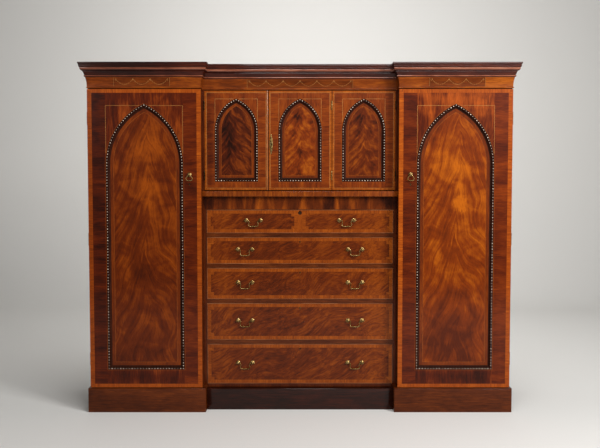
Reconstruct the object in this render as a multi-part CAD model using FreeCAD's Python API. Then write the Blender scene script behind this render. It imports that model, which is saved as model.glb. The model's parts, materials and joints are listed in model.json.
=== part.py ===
import FreeCAD, Part
import math
import os
from FreeCAD import Vector

# A mahogany breakfront wardrobe whose wings stand forward of a recessed middle.
# Millimetres, +Z up, front towards -Y, origin under the middle of the whole piece.

# Overall sizes
CASE_WIDTH = 2508.0
WING_WIDTH = 670.0
WING_DEPTH = 580.0
BREAK_DEPTH = 80.0
PLINTH_HEIGHT = 145.0
CENTRE_PLINTH_HEIGHT = 130.0
CARCASE_TOP = 1928.0
FRIEZE_HEIGHT = 65.0

# Boards and fits
CARCASE_BOARD = 20.0
BACK_BOARD = 12.0
BACK_BOARD_WIDTH = 110.0
BACK_BOARD_GAP = 1.0
JOINT_FIT = 0.5
DOOR_SEAT_GAP = 1.0

# Sides that stand for a circle on small repeated pieces
ROUND_SIDES = 8
POST_SIDES = 6
KNUCKLE_SIDES = 6
MOULDING_FLATS = 3

# Plinth
PLINTH_BOARD = 22.0
PLINTH_PROUD = 12.0
PLINTH_PROUD_INSIDE = 20.0
CENTRE_PLINTH_PROUD = 35.0
PLINTH_CHAMFER = 4.0

# Frieze and cornice, measured out from the faces below them
FRIEZE_THICKNESS = 40.0
FRIEZE_BEAD = 7.0
FRIEZE_BEAD_PROUD = 3.0
FRIEZE_FLARE = 8.0
FRIEZE_HOLLOW = 1.6
CORNICE_BACKING = 16.0
CORNICE_BEAD_HEIGHT = 10.0
CORNICE_BEAD_PROUD = 14.0
CORNICE_FASCIA_HEIGHT = 20.0
CORNICE_FASCIA_FOOT = 11.0
CORNICE_FASCIA_HEAD = 18.0
CORNICE_FILLET = 4.0
CORNICE_OVOLO_FOOT = 20.0
CORNICE_OVOLO_HEIGHT = 14.0
CORNICE_OVOLO_HEAD = 33.0
CORNICE_CYMA_HEIGHT = 22.0
CORNICE_TOP_FILLET = 8.0
CORNICE_PROJECTION = 43.0
FRIEZE_BACK_RAIL = 18.0

# Wing doors
WING_DOOR_THICKNESS = 24.0
DOOR_FOOT_GAP = 3.0
DOOR_HEAD_GAP = 5.0
WING_STILE = 113.0
WING_ARCH_RISE = 350.0
WING_ARCH_FOOT = 115.0
WING_ARCH_HEAD = 94.0
WING_HINGE_LENGTH = 76.0
WING_HINGE_INSET = 170.0
WING_LEAF_FIXED = 20.0
WING_LEAF_MOVING = 32.0

# Upper cupboard and its three doors
CUPBOARD_SIDE = 18.5
CUPBOARD_LIP = 9.0
CUPBOARD_SHELF = 18.0
CUPBOARD_SHELF_RISE = 290.0
UPPER_DOOR_THICKNESS = 22.0
UPPER_DOOR_GAP = 2.0
UPPER_DOOR_FOOT_GAP = 6.0
UPPER_DOOR_REST_GAP = 2.0
UPPER_STILE = 66.67
UPPER_ARCH_RISE = 184.0
UPPER_ARCH_FOOT = 57.0
UPPER_ARCH_HEAD = 54.0
UPPER_HINGE_LENGTH = 54.0
UPPER_HINGE_INSET = 88.0
UPPER_LEAF = 20.0
MEETING_BEAD_WIDTH = 10.0
MEETING_BEAD_PROUD = 4.0

# Door panels and the bead moulding round them
PANEL_THICKNESS = 8.0
PANEL_SET_BACK = 10.0
PANEL_LAP = 14.0
PANEL_FIT = 0.5
BEAD_HALF = 6.5
BEAD_PROUD = 5.0
BEAD_COVE = 9.0
BEAD_QUIRK = 2.0

# Butt hinges
LEAF_THICKNESS = 1.8
LEAF_GAP = 0.4
HINGE_PIN = 1.6
HINGE_PIN_FIT = 0.1
HINGE_CLEARANCE = 0.4
WING_KNUCKLE = 4.0
WING_KNUCKLE_STANDOFF = 4.6
UPPER_KNUCKLE = 3.2
UPPER_KNUCKLE_STANDOFF = 3.4

# Chest of drawers, openings listed from the lowest to the highest
CHEST_SIDE = 19.5
CHEST_FLOOR = 20.0
DRAWER_OPENINGS = (246.0, 227.0, 193.0, 164.0, 144.0)
RAIL_HEIGHT = 22.0
RAIL_DEPTH = 60.0
RUNNER_WIDTH = 45.0
CHEST_FRIEZE_HEIGHT = 78.0
CHEST_FRIEZE_THICKNESS = 22.0
LEDGE_THICKNESS = 33.0
LEDGE_PROUD = 45.0
LEDGE_ROUND = 5.0

# Drawers
DRAWER_GAP = 1.5
DRAWER_FRONT = 20.0
DRAWER_SIDE = 11.0
DRAWER_BACK = 11.0
DRAWER_BOTTOM = 8.0
DRAWER_SIDE_DROP = 10.0
DRAWER_SIDE_CLEARANCE = 1.0
DRAWER_RUN_CLEARANCE = 0.4
DRAWER_BACK_CLEARANCE = 26.0
COCK_BEAD_WIDTH = 3.5
COCK_BEAD_PROUD = 2.5
COCK_BEAD_DEPTH = 4.5
TAIL_LENGTH = 14.0
TAIL_WIDTH = 26.0
TAIL_SPLAY = 4.0
TAIL_SPACING = 60.0

# Swan-neck handles
HANDLE_SPAN = 86.0
HANDLE_RISE = 7.0
HANDLE_PLACE = 333.0
TOP_HANDLE_PLACE = 281.0
ROSE_RADIUS = 13.0
ROSE_THICKNESS = 3.0
POST_RADIUS = 4.2
POST_HEAD = 6.6
POST_REACH = 13.0
BAIL_PIN_LENGTH = 8.0
BAIL_PIN = 2.0
BAIL_COLLAR = 1.5
BAIL_FIT = 0.4
BAIL_RADIUS = 2.6
BAIL_NECK = 26.0
BAIL_WIDEST = 28.5
BAIL_DROP = 37.0
BAIL_STATIONS = 10
BAR_SIDES = 6

# Ring pulls on the wing doors
PULL_FROM_EDGE = 70.0
PULL_HEIGHT = 1421.0
RING_RADIUS = 2.2
RING_WIDTH = 40.0
RING_DROP = 34.0
RING_SHOULDER = 2.5
RING_PIN = 1.6
RING_PIN_LENGTH = 5.0
RING_STATIONS = 12

# Locks and keyholes
KEYHOLE_RADIUS = 3.2
KEYHOLE_SLOT = 3.0
KEYHOLE_DROP = 9.0
ESCUTCHEON_RIM = 2.0
ESCUTCHEON_DEPTH = 3.0
KEYHOLE_FROM_TOP = 28.0
TOP_KEYHOLE_FROM_TOP = 20.0
DOOR_KEYHOLE_DROP = 56.0
LOCK_WIDTH = 70.0
LOCK_HEIGHT = 44.0
LOCK_THICKNESS = 9.0
LOCK_RISE = 14.0
PLATE_HALF_HEIGHT = 55.0
PLATE_SHOULDER = 30.0
PLATE_HALF_WIDTH = 9.5
PLATE_WAIST = 3.5
PLATE_THICKNESS = 1.8
PLATE_FROM_EDGE = 17.0
PLATE_HEIGHT = 1604.0

# Hanging rails in the wings
HANGING_RAIL_RADIUS = 9.5
HANGING_RAIL_DROP = 95.0
RAIL_SOCKET_RADIUS = 20.0
RAIL_SOCKET_LENGTH = 9.0

# Places worked out from the sizes above
CORNICE_HEIGHT = (CORNICE_BEAD_HEIGHT + CORNICE_FASCIA_HEIGHT + 2 * CORNICE_FILLET
                  + CORNICE_OVOLO_HEIGHT + CORNICE_CYMA_HEIGHT + CORNICE_TOP_FILLET)
OUTER_X = CASE_WIDTH / 2
INNER_X = OUTER_X - WING_WIDTH
OVERALL_DEPTH = WING_DEPTH + CORNICE_PROJECTION
BACK = OVERALL_DEPTH / 2
WING_FRONT = BACK - WING_DEPTH
CENTRE_FRONT = WING_FRONT + BREAK_DEPTH
WING_CASE_FRONT = WING_FRONT + WING_DOOR_THICKNESS + DOOR_SEAT_GAP
CASE_BACK = BACK - BACK_BOARD
CENTRE_X = INNER_X - JOINT_FIT
CHEST_INSIDE = CENTRE_X - CHEST_SIDE
CHEST_FLOOR_TOP = CENTRE_PLINTH_HEIGHT + CHEST_FLOOR
DRAWERS_TOP = CHEST_FLOOR_TOP + sum(DRAWER_OPENINGS) + RAIL_HEIGHT * (len(DRAWER_OPENINGS) - 1)
LEDGE_BOTTOM = DRAWERS_TOP + CHEST_FRIEZE_HEIGHT
LEDGE_TOP = LEDGE_BOTTOM + LEDGE_THICKNESS
CUPBOARD_BOARDS_FRONT = CENTRE_FRONT + UPPER_DOOR_THICKNESS + UPPER_DOOR_REST_GAP
UPPER_DOORS_HALF = CENTRE_X - CUPBOARD_LIP - UPPER_DOOR_GAP
UPPER_DOOR_WIDTH = (2 * UPPER_DOORS_HALF - 2 * UPPER_DOOR_GAP) / 3
UPPER_ARCH_HALF = UPPER_DOOR_WIDTH / 2 - UPPER_STILE
UPPER_DOOR_BOTTOM = LEDGE_TOP + UPPER_DOOR_FOOT_GAP
DOOR_TOP = CARCASE_TOP - DOOR_HEAD_GAP
WING_DOOR_BOTTOM = PLINTH_HEIGHT + DOOR_FOOT_GAP
WING_ARCH_HALF = WING_WIDTH / 2 - WING_STILE
HANGING_RAIL_Y = (WING_CASE_FRONT + CASE_BACK) / 2
HANGING_RAIL_Z = CARCASE_TOP - CARCASE_BOARD - HANGING_RAIL_DROP


def box(x0, x1, y0, y1, z0, z1):
    return Part.makeBox(x1 - x0, y1 - y0, z1 - z0, Vector(x0, y0, z0))


def mirrored(shape):
    return shape.mirror(Vector(0, 0, 0), Vector(1, 0, 0))


def mirrored_all(shapes):
    return [mirrored(shape) for shape in shapes]


def cut_all(solid, tools):
    for tool in tools:
        if solid.BoundBox.intersect(tool.BoundBox):
            solid = solid.cut(tool)
    return solid.Solids[0]


def save(name, solids):
    Part.makeCompound(solids).exportStep("parts/%s.step" % name)


def line(start, end):
    return Part.LineSegment(start, end).toShape()


def arc(start, middle, end):
    return Part.Arc(start, middle, end).toShape()


def arc_points(start, middle, end):
    # A curved moulding member as a few flats, without its first point
    return Part.Arc(start, middle, end).toShape().discretize(MOULDING_FLATS + 1)[1:]


def outline(points):
    return Part.Face(Part.makePolygon(points + [points[0]]))


def many_sided(place, along, radius, sides):
    # Corners round a place, square to along, standing for a circle on small repeated pieces
    first = Vector(0, 0, 1) if abs(along.z) < 0.5 else Vector(1, 0, 0)
    second = along.cross(first)
    corners = []
    for side in range(sides):
        angle = 2 * math.pi * (side + 0.5) / sides
        corners.append(place + first * (radius * math.cos(angle)) + second * (radius * math.sin(angle)))
    return corners


def small_bar(place, along, radius, length, sides=ROUND_SIDES):
    return outline(many_sided(place, along, radius, sides)).extrude(along * length)


def clear_hole(place, along, radius, length, sides):
    # A many-sided hole with its flats at the radius, so that a pin can turn in it
    return small_bar(place, along, radius / math.cos(math.pi / sides), length, sides)


def flat_sided(rings):
    # A solid with flat sides between rings of corners, closed at both ends
    count = len(rings[0])
    faces = [outline(rings[0]), outline(rings[-1])]
    for low, high in zip(rings, rings[1:]):
        for i in range(count):
            j = (i + 1) % count
            faces.append(outline([low[i], low[j], high[j], high[i]]))
    solid = Part.Solid(Part.Shell(faces))
    if solid.Volume < 0:
        solid.reverse()
    return solid


# Mouldings that run round the front in plan, mitred at each break

def half_space(place, normal):
    size = 2 * CASE_WIDTH
    block = Part.makeBox(size, 2 * size, 2 * size, Vector(0, -size, -size))
    block.rotate(Vector(0, 0, 0), Vector(0, 0, 1), math.degrees(math.atan2(normal.y, normal.x)))
    block.translate(place)
    return block


def moulding_runs(profile, reach):
    # profile takes a function from (projection, height) to a place and returns a wire
    corners = [Vector(-OUTER_X, BACK, 0), Vector(-OUTER_X, WING_FRONT, 0),
               Vector(-INNER_X, WING_FRONT, 0), Vector(-INNER_X, CENTRE_FRONT, 0),
               Vector(INNER_X, CENTRE_FRONT, 0), Vector(INNER_X, WING_FRONT, 0),
               Vector(OUTER_X, WING_FRONT, 0), Vector(OUTER_X, BACK, 0)]
    along = [(corners[i + 1] - corners[i]).normalize() for i in range(len(corners) - 1)]
    runs = []
    for i, direction in enumerate(along):
        outward = Vector(direction.y, -direction.x, 0)
        origin = corners[i] - direction * reach
        length = (corners[i + 1] - corners[i]).Length + 2 * reach

        def place(projection, height):
            return origin + outward * projection + Vector(0, 0, height)

        run = profile(place).extrude(direction * length)
        start_mitre = direction + along[i - 1] if i > 0 else direction
        end_mitre = direction + along[i + 1] if i + 1 < len(along) else direction
        run = run.common(half_space(corners[i], start_mitre))
        run = run.common(half_space(corners[i + 1], end_mitre * -1))
        runs.append(run.Solids[0])
    return runs


def frieze_profile(place):
    top = CARCASE_TOP + FRIEZE_HEIGHT
    hollow_foot = CARCASE_TOP + FRIEZE_BEAD
    foot = place(0, CARCASE_TOP)
    bead_top = place(0, hollow_foot)
    head = place(FRIEZE_FLARE, top)
    points = [place(-FRIEZE_THICKNESS, CARCASE_TOP), foot]
    points += arc_points(foot, place(FRIEZE_BEAD_PROUD, CARCASE_TOP + FRIEZE_BEAD / 2), bead_top)
    points += arc_points(bead_top, place(FRIEZE_HOLLOW, (hollow_foot + top) / 2), head)
    points.append(place(-FRIEZE_THICKNESS, top))
    return outline(points)


def cornice_profile(place):
    foot = CARCASE_TOP + FRIEZE_HEIGHT
    bead_top = foot + CORNICE_BEAD_HEIGHT
    fascia_top = bead_top + CORNICE_FASCIA_HEIGHT
    ovolo_foot = fascia_top + CORNICE_FILLET
    ovolo_top = ovolo_foot + CORNICE_OVOLO_HEIGHT
    cyma_foot = ovolo_top + CORNICE_FILLET
    cyma_top = cyma_foot + CORNICE_CYMA_HEIGHT
    top = cyma_top + CORNICE_TOP_FILLET
    cyma_middle_out = (CORNICE_OVOLO_HEAD + CORNICE_PROJECTION) / 2
    cyma_swell = CORNICE_CYMA_HEIGHT / 12
    quarter = CORNICE_CYMA_HEIGHT / 4
    low_out = (CORNICE_OVOLO_HEAD + cyma_middle_out) / 2 + cyma_swell
    high_out = (CORNICE_PROJECTION + cyma_middle_out) / 2 - cyma_swell
    ovolo_out = CORNICE_OVOLO_FOOT + (CORNICE_OVOLO_HEAD - CORNICE_OVOLO_FOOT) * 0.8
    ovolo_middle = place(ovolo_out, ovolo_foot + CORNICE_OVOLO_HEIGHT * 0.4)
    lip = place(FRIEZE_FLARE, foot)
    fascia_foot = place(CORNICE_FASCIA_FOOT, bead_top)
    ovolo_start = place(CORNICE_OVOLO_FOOT, ovolo_foot)
    cyma_start = place(CORNICE_OVOLO_HEAD, cyma_foot)
    cyma_turn = place(cyma_middle_out, cyma_foot + CORNICE_CYMA_HEIGHT / 2)
    cyma_end = place(CORNICE_PROJECTION, cyma_top)
    points = [place(-CORNICE_BACKING, foot), lip]
    points += arc_points(lip, place(CORNICE_BEAD_PROUD, foot + CORNICE_BEAD_HEIGHT / 2), fascia_foot)
    points += [place(CORNICE_FASCIA_HEAD, fascia_top), place(CORNICE_OVOLO_FOOT, fascia_top), ovolo_start]
    points += arc_points(ovolo_start, ovolo_middle, place(CORNICE_OVOLO_HEAD, ovolo_top))
    points.append(cyma_start)
    points += arc_points(cyma_start, place(low_out, cyma_foot + quarter), cyma_turn)
    points += arc_points(cyma_turn, place(high_out, cyma_top - quarter), cyma_end)
    points += [place(CORNICE_PROJECTION, top), place(-CORNICE_BACKING, top)]
    return outline(points)


def frieze():
    runs = moulding_runs(frieze_profile, 2 * FRIEZE_THICKNESS)
    half = OUTER_X - FRIEZE_THICKNESS
    back_rail = box(-half, half, BACK - FRIEZE_BACK_RAIL, BACK,
                    CARCASE_TOP, CARCASE_TOP + FRIEZE_HEIGHT)
    return runs + [back_rail]


def cornice():
    return moulding_runs(cornice_profile, 2 * CORNICE_PROJECTION)


# Plinth frames under the wings and the middle

def plinth_frame(x0, x1, y_front, height):
    inside0 = x0 + PLINTH_BOARD
    inside1 = x1 - PLINTH_BOARD
    front = box(x0, x1, y_front, y_front + PLINTH_BOARD, 0, height)
    top_arris = [edge for edge in front.Edges
                 if edge.BoundBox.ZMin > height - PLINTH_CHAMFER
                 and edge.BoundBox.YMax < y_front + PLINTH_CHAMFER]
    front = front.makeChamfer(PLINTH_CHAMFER, top_arris)
    back = box(inside0, inside1, BACK - PLINTH_BOARD, BACK, 0, height)
    ends = [box(a, b, y_front + PLINTH_BOARD, BACK, 0, height)
            for a, b in ((x0, inside0), (inside1, x1))]
    return [front, back] + ends


def plinths():
    inner = INNER_X - PLINTH_PROUD_INSIDE
    wing = plinth_frame(inner, OUTER_X + PLINTH_PROUD, WING_FRONT - PLINTH_PROUD, PLINTH_HEIGHT)
    middle = plinth_frame(-inner + JOINT_FIT, inner - JOINT_FIT,
                          CENTRE_FRONT - CENTRE_PLINTH_PROUD, CENTRE_PLINTH_HEIGHT)
    return wing + mirrored_all(wing) + middle


# Carcases

def wing_carcase(pockets):
    inside0 = INNER_X + CARCASE_BOARD
    inside1 = OUTER_X - CARCASE_BOARD
    outer_side = box(inside1, OUTER_X, WING_CASE_FRONT, BACK, PLINTH_HEIGHT, CARCASE_TOP)
    inner_side = box(INNER_X, inside0, WING_CASE_FRONT, BACK, PLINTH_HEIGHT, CARCASE_TOP)
    floor = box(inside0, inside1, WING_CASE_FRONT, CASE_BACK,
                PLINTH_HEIGHT, PLINTH_HEIGHT + CARCASE_BOARD)
    top = box(inside0, inside1, WING_CASE_FRONT, CASE_BACK, CARCASE_TOP - CARCASE_BOARD, CARCASE_TOP)
    return [cut_all(outer_side, pockets), inner_side, floor, top]


def chest_carcase():
    side = box(CHEST_INSIDE, CENTRE_X, CENTRE_FRONT, BACK, PLINTH_HEIGHT, LEDGE_BOTTOM)
    rail = box(-CENTRE_X, CENTRE_X, CENTRE_FRONT, CENTRE_FRONT + CHEST_FRIEZE_THICKNESS,
               DRAWERS_TOP, LEDGE_BOTTOM)
    side = side.cut(rail)
    floor = box(-CHEST_INSIDE, CHEST_INSIDE, CENTRE_FRONT, CASE_BACK,
                CENTRE_PLINTH_HEIGHT, CHEST_FLOOR_TOP)
    return [side, mirrored(side), floor, rail]


def drawer_spaces():
    bottom = CHEST_FLOOR_TOP
    spaces = []
    for opening in DRAWER_OPENINGS:
        spaces.append((bottom, bottom + opening))
        bottom += opening + RAIL_HEIGHT
    return spaces


def drawer_dividers():
    solids = []
    for bottom, top in drawer_spaces()[:-1]:
        rail_top = top + RAIL_HEIGHT
        rail_back = CENTRE_FRONT + RAIL_DEPTH
        solids.append(box(-CHEST_INSIDE, CHEST_INSIDE, CENTRE_FRONT, rail_back, top, rail_top))
        runner = box(CHEST_INSIDE - RUNNER_WIDTH, CHEST_INSIDE, rail_back, CASE_BACK, top, rail_top)
        solids += [runner, mirrored(runner)]
    return solids


def chest_ledge():
    front = CENTRE_FRONT - LEDGE_PROUD
    board = box(-CENTRE_X, CENTRE_X, front, CASE_BACK, LEDGE_BOTTOM, LEDGE_TOP)
    front_edges = [edge for edge in board.Edges
                   if edge.BoundBox.YMax < front + LEDGE_ROUND
                   and edge.BoundBox.ZLength < LEDGE_ROUND]
    return board.makeFillet(LEDGE_ROUND, front_edges)


def cupboard_carcase(pockets):
    side = box(CENTRE_X - CUPBOARD_SIDE, CENTRE_X, CENTRE_FRONT, BACK, LEDGE_TOP, CARCASE_TOP)
    rebate = box(CENTRE_X - CUPBOARD_SIDE, CENTRE_X - CUPBOARD_LIP,
                 CENTRE_FRONT, CUPBOARD_BOARDS_FRONT, LEDGE_TOP, CARCASE_TOP)
    side = cut_all(side, [rebate] + pockets)
    inside = CENTRE_X - CUPBOARD_SIDE
    floor = box(-inside, inside, CUPBOARD_BOARDS_FRONT, CASE_BACK, LEDGE_TOP, LEDGE_TOP + CUPBOARD_SHELF)
    top = box(-inside, inside, CUPBOARD_BOARDS_FRONT, CASE_BACK, CARCASE_TOP - CUPBOARD_SHELF, CARCASE_TOP)
    return [side, mirrored(side), floor, top]


def cupboard_shelf():
    inside = CENTRE_X - CUPBOARD_SIDE
    bottom = LEDGE_TOP + CUPBOARD_SHELF_RISE
    front = CUPBOARD_BOARDS_FRONT + LOCK_THICKNESS + UPPER_DOOR_REST_GAP
    return box(-inside, inside, front, CASE_BACK, bottom, bottom + CUPBOARD_SHELF)


def boards_across(x0, x1, z0, z1):
    count = max(1, round((x1 - x0) / BACK_BOARD_WIDTH))
    width = (x1 - x0 - BACK_BOARD_GAP * (count - 1)) / count
    starts = [x0 + i * (width + BACK_BOARD_GAP) for i in range(count)]
    return [box(start, start + width, CASE_BACK, BACK, z0, z1) for start in starts]


def back_boards():
    wing = boards_across(INNER_X + CARCASE_BOARD, OUTER_X - CARCASE_BOARD, PLINTH_HEIGHT, CARCASE_TOP)
    chest = boards_across(-CHEST_INSIDE, CHEST_INSIDE, CENTRE_PLINTH_HEIGHT, LEDGE_TOP)
    inside = CENTRE_X - CUPBOARD_SIDE
    cupboard = boards_across(-inside, inside, LEDGE_TOP, CARCASE_TOP)
    return wing + mirrored_all(wing) + chest + cupboard


def hanging_rails():
    x0 = INNER_X + CARCASE_BOARD
    x1 = OUTER_X - CARCASE_BOARD
    along = Vector(1, 0, 0)

    def bar(start, end, radius):
        return small_bar(Vector(start, HANGING_RAIL_Y, HANGING_RAIL_Z), along, radius, end - start)

    wing = [bar(x0, x0 + RAIL_SOCKET_LENGTH, RAIL_SOCKET_RADIUS),
            bar(x0 + RAIL_SOCKET_LENGTH, x1 - RAIL_SOCKET_LENGTH, HANGING_RAIL_RADIUS),
            bar(x1 - RAIL_SOCKET_LENGTH, x1, RAIL_SOCKET_RADIUS)]
    return wing + mirrored_all(wing)


# Butt hinges: into points from the pin into the wood, side points to the fixed leaf

def hinge_box(axis, into, side, reach, offset, z0, z1):
    near = axis + into * reach[0] + side * offset[0]
    far = axis + into * reach[1] + side * offset[1]
    return box(min(near.x, far.x), max(near.x, far.x), min(near.y, far.y), max(near.y, far.y), z0, z1)


def butt_hinge(axis, into, side, z_middle, length, knuckle, leaf_fixed, leaf_moving):
    z0 = z_middle - length / 2
    z1 = z_middle + length / 2
    third = length / 3
    leaf_start = knuckle + HINGE_CLEARANCE
    fixed_offset = (LEAF_GAP / 2, LEAF_GAP / 2 + LEAF_THICKNESS)
    moving_offset = (-fixed_offset[1], -fixed_offset[0])
    low = (z0, z0 + third - HINGE_CLEARANCE)
    high = (z1 - third + HINGE_CLEARANCE, z1)
    middle = (z0 + third, z1 - third)

    def barrel(span, radius):
        place = Vector(axis.x, axis.y, span[0])
        return small_bar(place, Vector(0, 0, 1), radius, span[1] - span[0], KNUCKLE_SIDES)

    def hole(span, radius):
        place = Vector(axis.x, axis.y, span[0])
        return clear_hole(place, Vector(0, 0, 1), radius, span[1] - span[0], KNUCKLE_SIDES)

    pin = Part.makeCylinder(HINGE_PIN, length - third, Vector(axis.x, axis.y, z0 + third / 2))
    fixed = hinge_box(axis, into, side, (leaf_start, leaf_fixed), fixed_offset, z0, z1)
    fixed = fixed.fuse([barrel(low, knuckle), barrel(high, knuckle), pin,
                        hinge_box(axis, into, side, (0, leaf_start), fixed_offset, *low),
                        hinge_box(axis, into, side, (0, leaf_start), fixed_offset, *high)])
    moving = hinge_box(axis, into, side, (leaf_start, leaf_moving), moving_offset, z0, z1)
    moving = moving.fuse([barrel(middle, knuckle),
                          hinge_box(axis, into, side, (0, leaf_start), moving_offset, *middle)])
    moving = moving.cut(hole(middle, HINGE_PIN + HINGE_PIN_FIT))
    room = hole((z0, z1), knuckle + HINGE_CLEARANCE)
    fixed_pocket = hinge_box(axis, into, side, (0, leaf_fixed), (0, fixed_offset[1]), z0, z1)
    moving_pocket = hinge_box(axis, into, side, (0, leaf_moving), (moving_offset[0], 0), z0, z1)
    return {"fixed": fixed.removeSplitter().Solids[0], "moving": moving.removeSplitter().Solids[0],
            "fixed_pocket": fixed_pocket.fuse(room), "moving_pocket": moving_pocket.fuse(room)}


def wing_hinges():
    axis = Vector(OUTER_X + WING_KNUCKLE_STANDOFF, WING_CASE_FRONT - DOOR_SEAT_GAP / 2, 0)
    low = WING_DOOR_BOTTOM + WING_HINGE_INSET
    high = DOOR_TOP - WING_HINGE_INSET
    heights = (low, (low + high) / 2, high)
    reach = WING_KNUCKLE_STANDOFF
    return [butt_hinge(axis, Vector(-1, 0, 0), Vector(0, 1, 0), height, WING_HINGE_LENGTH, WING_KNUCKLE,
                       reach + WING_LEAF_FIXED - LEAF_THICKNESS, reach + WING_LEAF_MOVING)
            for height in heights]


def upper_hinges(gap_middle):
    axis = Vector(gap_middle, CENTRE_FRONT - UPPER_KNUCKLE_STANDOFF, 0)
    heights = (UPPER_DOOR_BOTTOM + UPPER_HINGE_INSET, DOOR_TOP - UPPER_HINGE_INSET)
    leaf = UPPER_KNUCKLE_STANDOFF + UPPER_LEAF - LEAF_THICKNESS
    return [butt_hinge(axis, Vector(0, 1, 0), Vector(1, 0, 0), height, UPPER_HINGE_LENGTH, UPPER_KNUCKLE,
                       leaf, leaf)
            for height in heights]


# Arched doors

def arch_radius(arch):
    return (arch["rise"] ** 2 + arch["half"] ** 2) / (2 * arch["half"])


def arch_prism(arch, offset, y0, y1):
    # The pointed outline, grown outwards by offset, as a block from y0 to y1
    centre = arch["centre"]
    spring = arch["spring"]
    half = arch["half"] + offset
    radius = arch_radius(arch) + offset
    reach = radius - half
    turn = math.acos(reach / radius)

    def on_arc(angle, hand):
        return Vector(centre + hand * (radius * math.cos(angle) - reach), y0,
                      spring + radius * math.sin(angle))

    foot = arch["foot"] - offset
    left_foot = Vector(centre - half, y0, foot)
    right_foot = Vector(centre + half, y0, foot)
    outline = Part.Wire([line(left_foot, right_foot), line(right_foot, on_arc(0, 1)),
                         arc(on_arc(0, 1), on_arc(turn / 2, 1), on_arc(turn, 1)),
                         arc(on_arc(turn, -1), on_arc(turn / 2, -1), on_arc(0, -1)),
                         line(on_arc(0, -1), left_foot)])
    return Part.Face(outline).extrude(Vector(0, y1 - y0, 0))


def panel_box(arch, grown, y0, y1):
    return box(arch["centre"] - arch["half"] - grown, arch["centre"] + arch["half"] + grown, y0, y1,
               arch["foot"] - grown, arch["spring"] + arch["rise"] + grown)


def door_frame(x0, x1, z0, z1, front, thickness, arch, cuts):
    # Two stiles the full height, a foot rail and an arched head between them
    opening = arch_prism(arch, BEAD_HALF, front, front + thickness)
    rebate = panel_box(arch, BEAD_HALF + PANEL_LAP, front + PANEL_SET_BACK, front + thickness)
    left = arch["centre"] - arch["half"] - BEAD_HALF
    right = arch["centre"] + arch["half"] + BEAD_HALF
    back = front + thickness
    members = [box(x0, left, front, back, z0, z1), box(right, x1, front, back, z0, z1),
               box(left, right, front, back, z0, arch["foot"] - BEAD_HALF),
               box(left, right, front, back, arch["spring"], z1)]
    return [cut_all(member, [opening, rebate] + cuts) for member in members]


def door_panel(front, arch):
    y0 = front + PANEL_SET_BACK
    return panel_box(arch, BEAD_HALF + PANEL_LAP - PANEL_FIT, y0, y0 + PANEL_THICKNESS)


def bead_profile(place):
    # place takes the distance out from the middle of the bead and the depth behind the face
    return outline([place(BEAD_HALF, PANEL_SET_BACK), place(BEAD_HALF, 0), place(0, -BEAD_PROUD),
                    place(-BEAD_HALF, BEAD_QUIRK), place(-BEAD_HALF - BEAD_COVE, PANEL_SET_BACK)])


def flat_region(points, front):
    places = [Vector(x, front - 2 * BEAD_PROUD, z) for x, z in points]
    return outline(places).extrude(Vector(0, 2 * BEAD_PROUD + 2 * PANEL_SET_BACK, 0))


def bead_moulding(front, arch):
    # Five lengths: the foot, two sides and two curved heads, mitred at the corners and apex
    reach = 2 * (BEAD_HALF + BEAD_COVE)
    centre = arch["centre"]
    half = arch["half"]
    foot = arch["foot"]
    spring = arch["spring"]
    left = centre - half
    right = centre + half
    radius = arch_radius(arch)

    def foot_place(out, depth):
        return Vector(left - reach, front + depth, foot - out)

    def side_place(out, depth):
        return Vector(left - out, front + depth, foot - reach)

    def head_place(out, depth):
        return Vector(left - out, front + depth, spring)

    foot_run = bead_profile(foot_place).extrude(Vector(2 * (half + reach), 0, 0))
    foot_run = foot_run.common(flat_region([(left - reach, foot - reach), (left + reach, foot + reach),
                                            (right - reach, foot + reach), (right + reach, foot - reach)],
                                           front))
    side_run = bead_profile(side_place).extrude(Vector(0, 0, spring - foot + reach))
    side_run = side_run.common(flat_region([(left - reach, foot - reach), (left + reach, foot + reach),
                                            (left + reach, spring), (left - reach, spring)], front))
    pivot = Vector(left + radius, front, spring)
    head_run = bead_profile(head_place).revolve(pivot, Vector(0, 1, 0), 90)
    head_run = head_run.common(flat_region([(left - reach, spring), (centre, spring),
                                            (centre, spring + radius + reach),
                                            (left - reach, spring + radius + reach)], front))
    lengths = [foot_run.Solids[0]]
    for run in (side_run, head_run):
        solid = run.Solids[0]
        lengths += [solid, solid.mirror(Vector(centre, 0, 0), Vector(1, 0, 0))]
    return lengths


# Keyholes, locks and escutcheons

def keyhole_prism(x, z, grown, y0, y1):
    head = small_bar(Vector(x, y0, z), Vector(0, 1, 0), KEYHOLE_RADIUS + grown, y1 - y0, BAR_SIDES)
    half_slot = KEYHOLE_SLOT / 2 + grown
    slot = box(x - half_slot, x + half_slot, y0, y1, z - KEYHOLE_DROP - grown, z)
    return head.fuse(slot).removeSplitter().Solids[0]


def thread_escutcheon(x, z, front):
    ring = keyhole_prism(x, z, ESCUTCHEON_RIM, front, front + ESCUTCHEON_DEPTH)
    return ring.cut(keyhole_prism(x, z, 0, front, front + ESCUTCHEON_DEPTH)).Solids[0]


def keyhole_cuts(x, z, front, thickness):
    return [keyhole_prism(x, z, ESCUTCHEON_RIM, front, front + ESCUTCHEON_DEPTH),
            keyhole_prism(x, z, 0, front, front + thickness)]


def lock_case(x, z, back):
    # z is the keyhole's height, back the face that the lock is screwed to
    return box(x - LOCK_WIDTH / 2, x + LOCK_WIDTH / 2, back, back + LOCK_THICKNESS,
               z + LOCK_RISE - LOCK_HEIGHT, z + LOCK_RISE)


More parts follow.
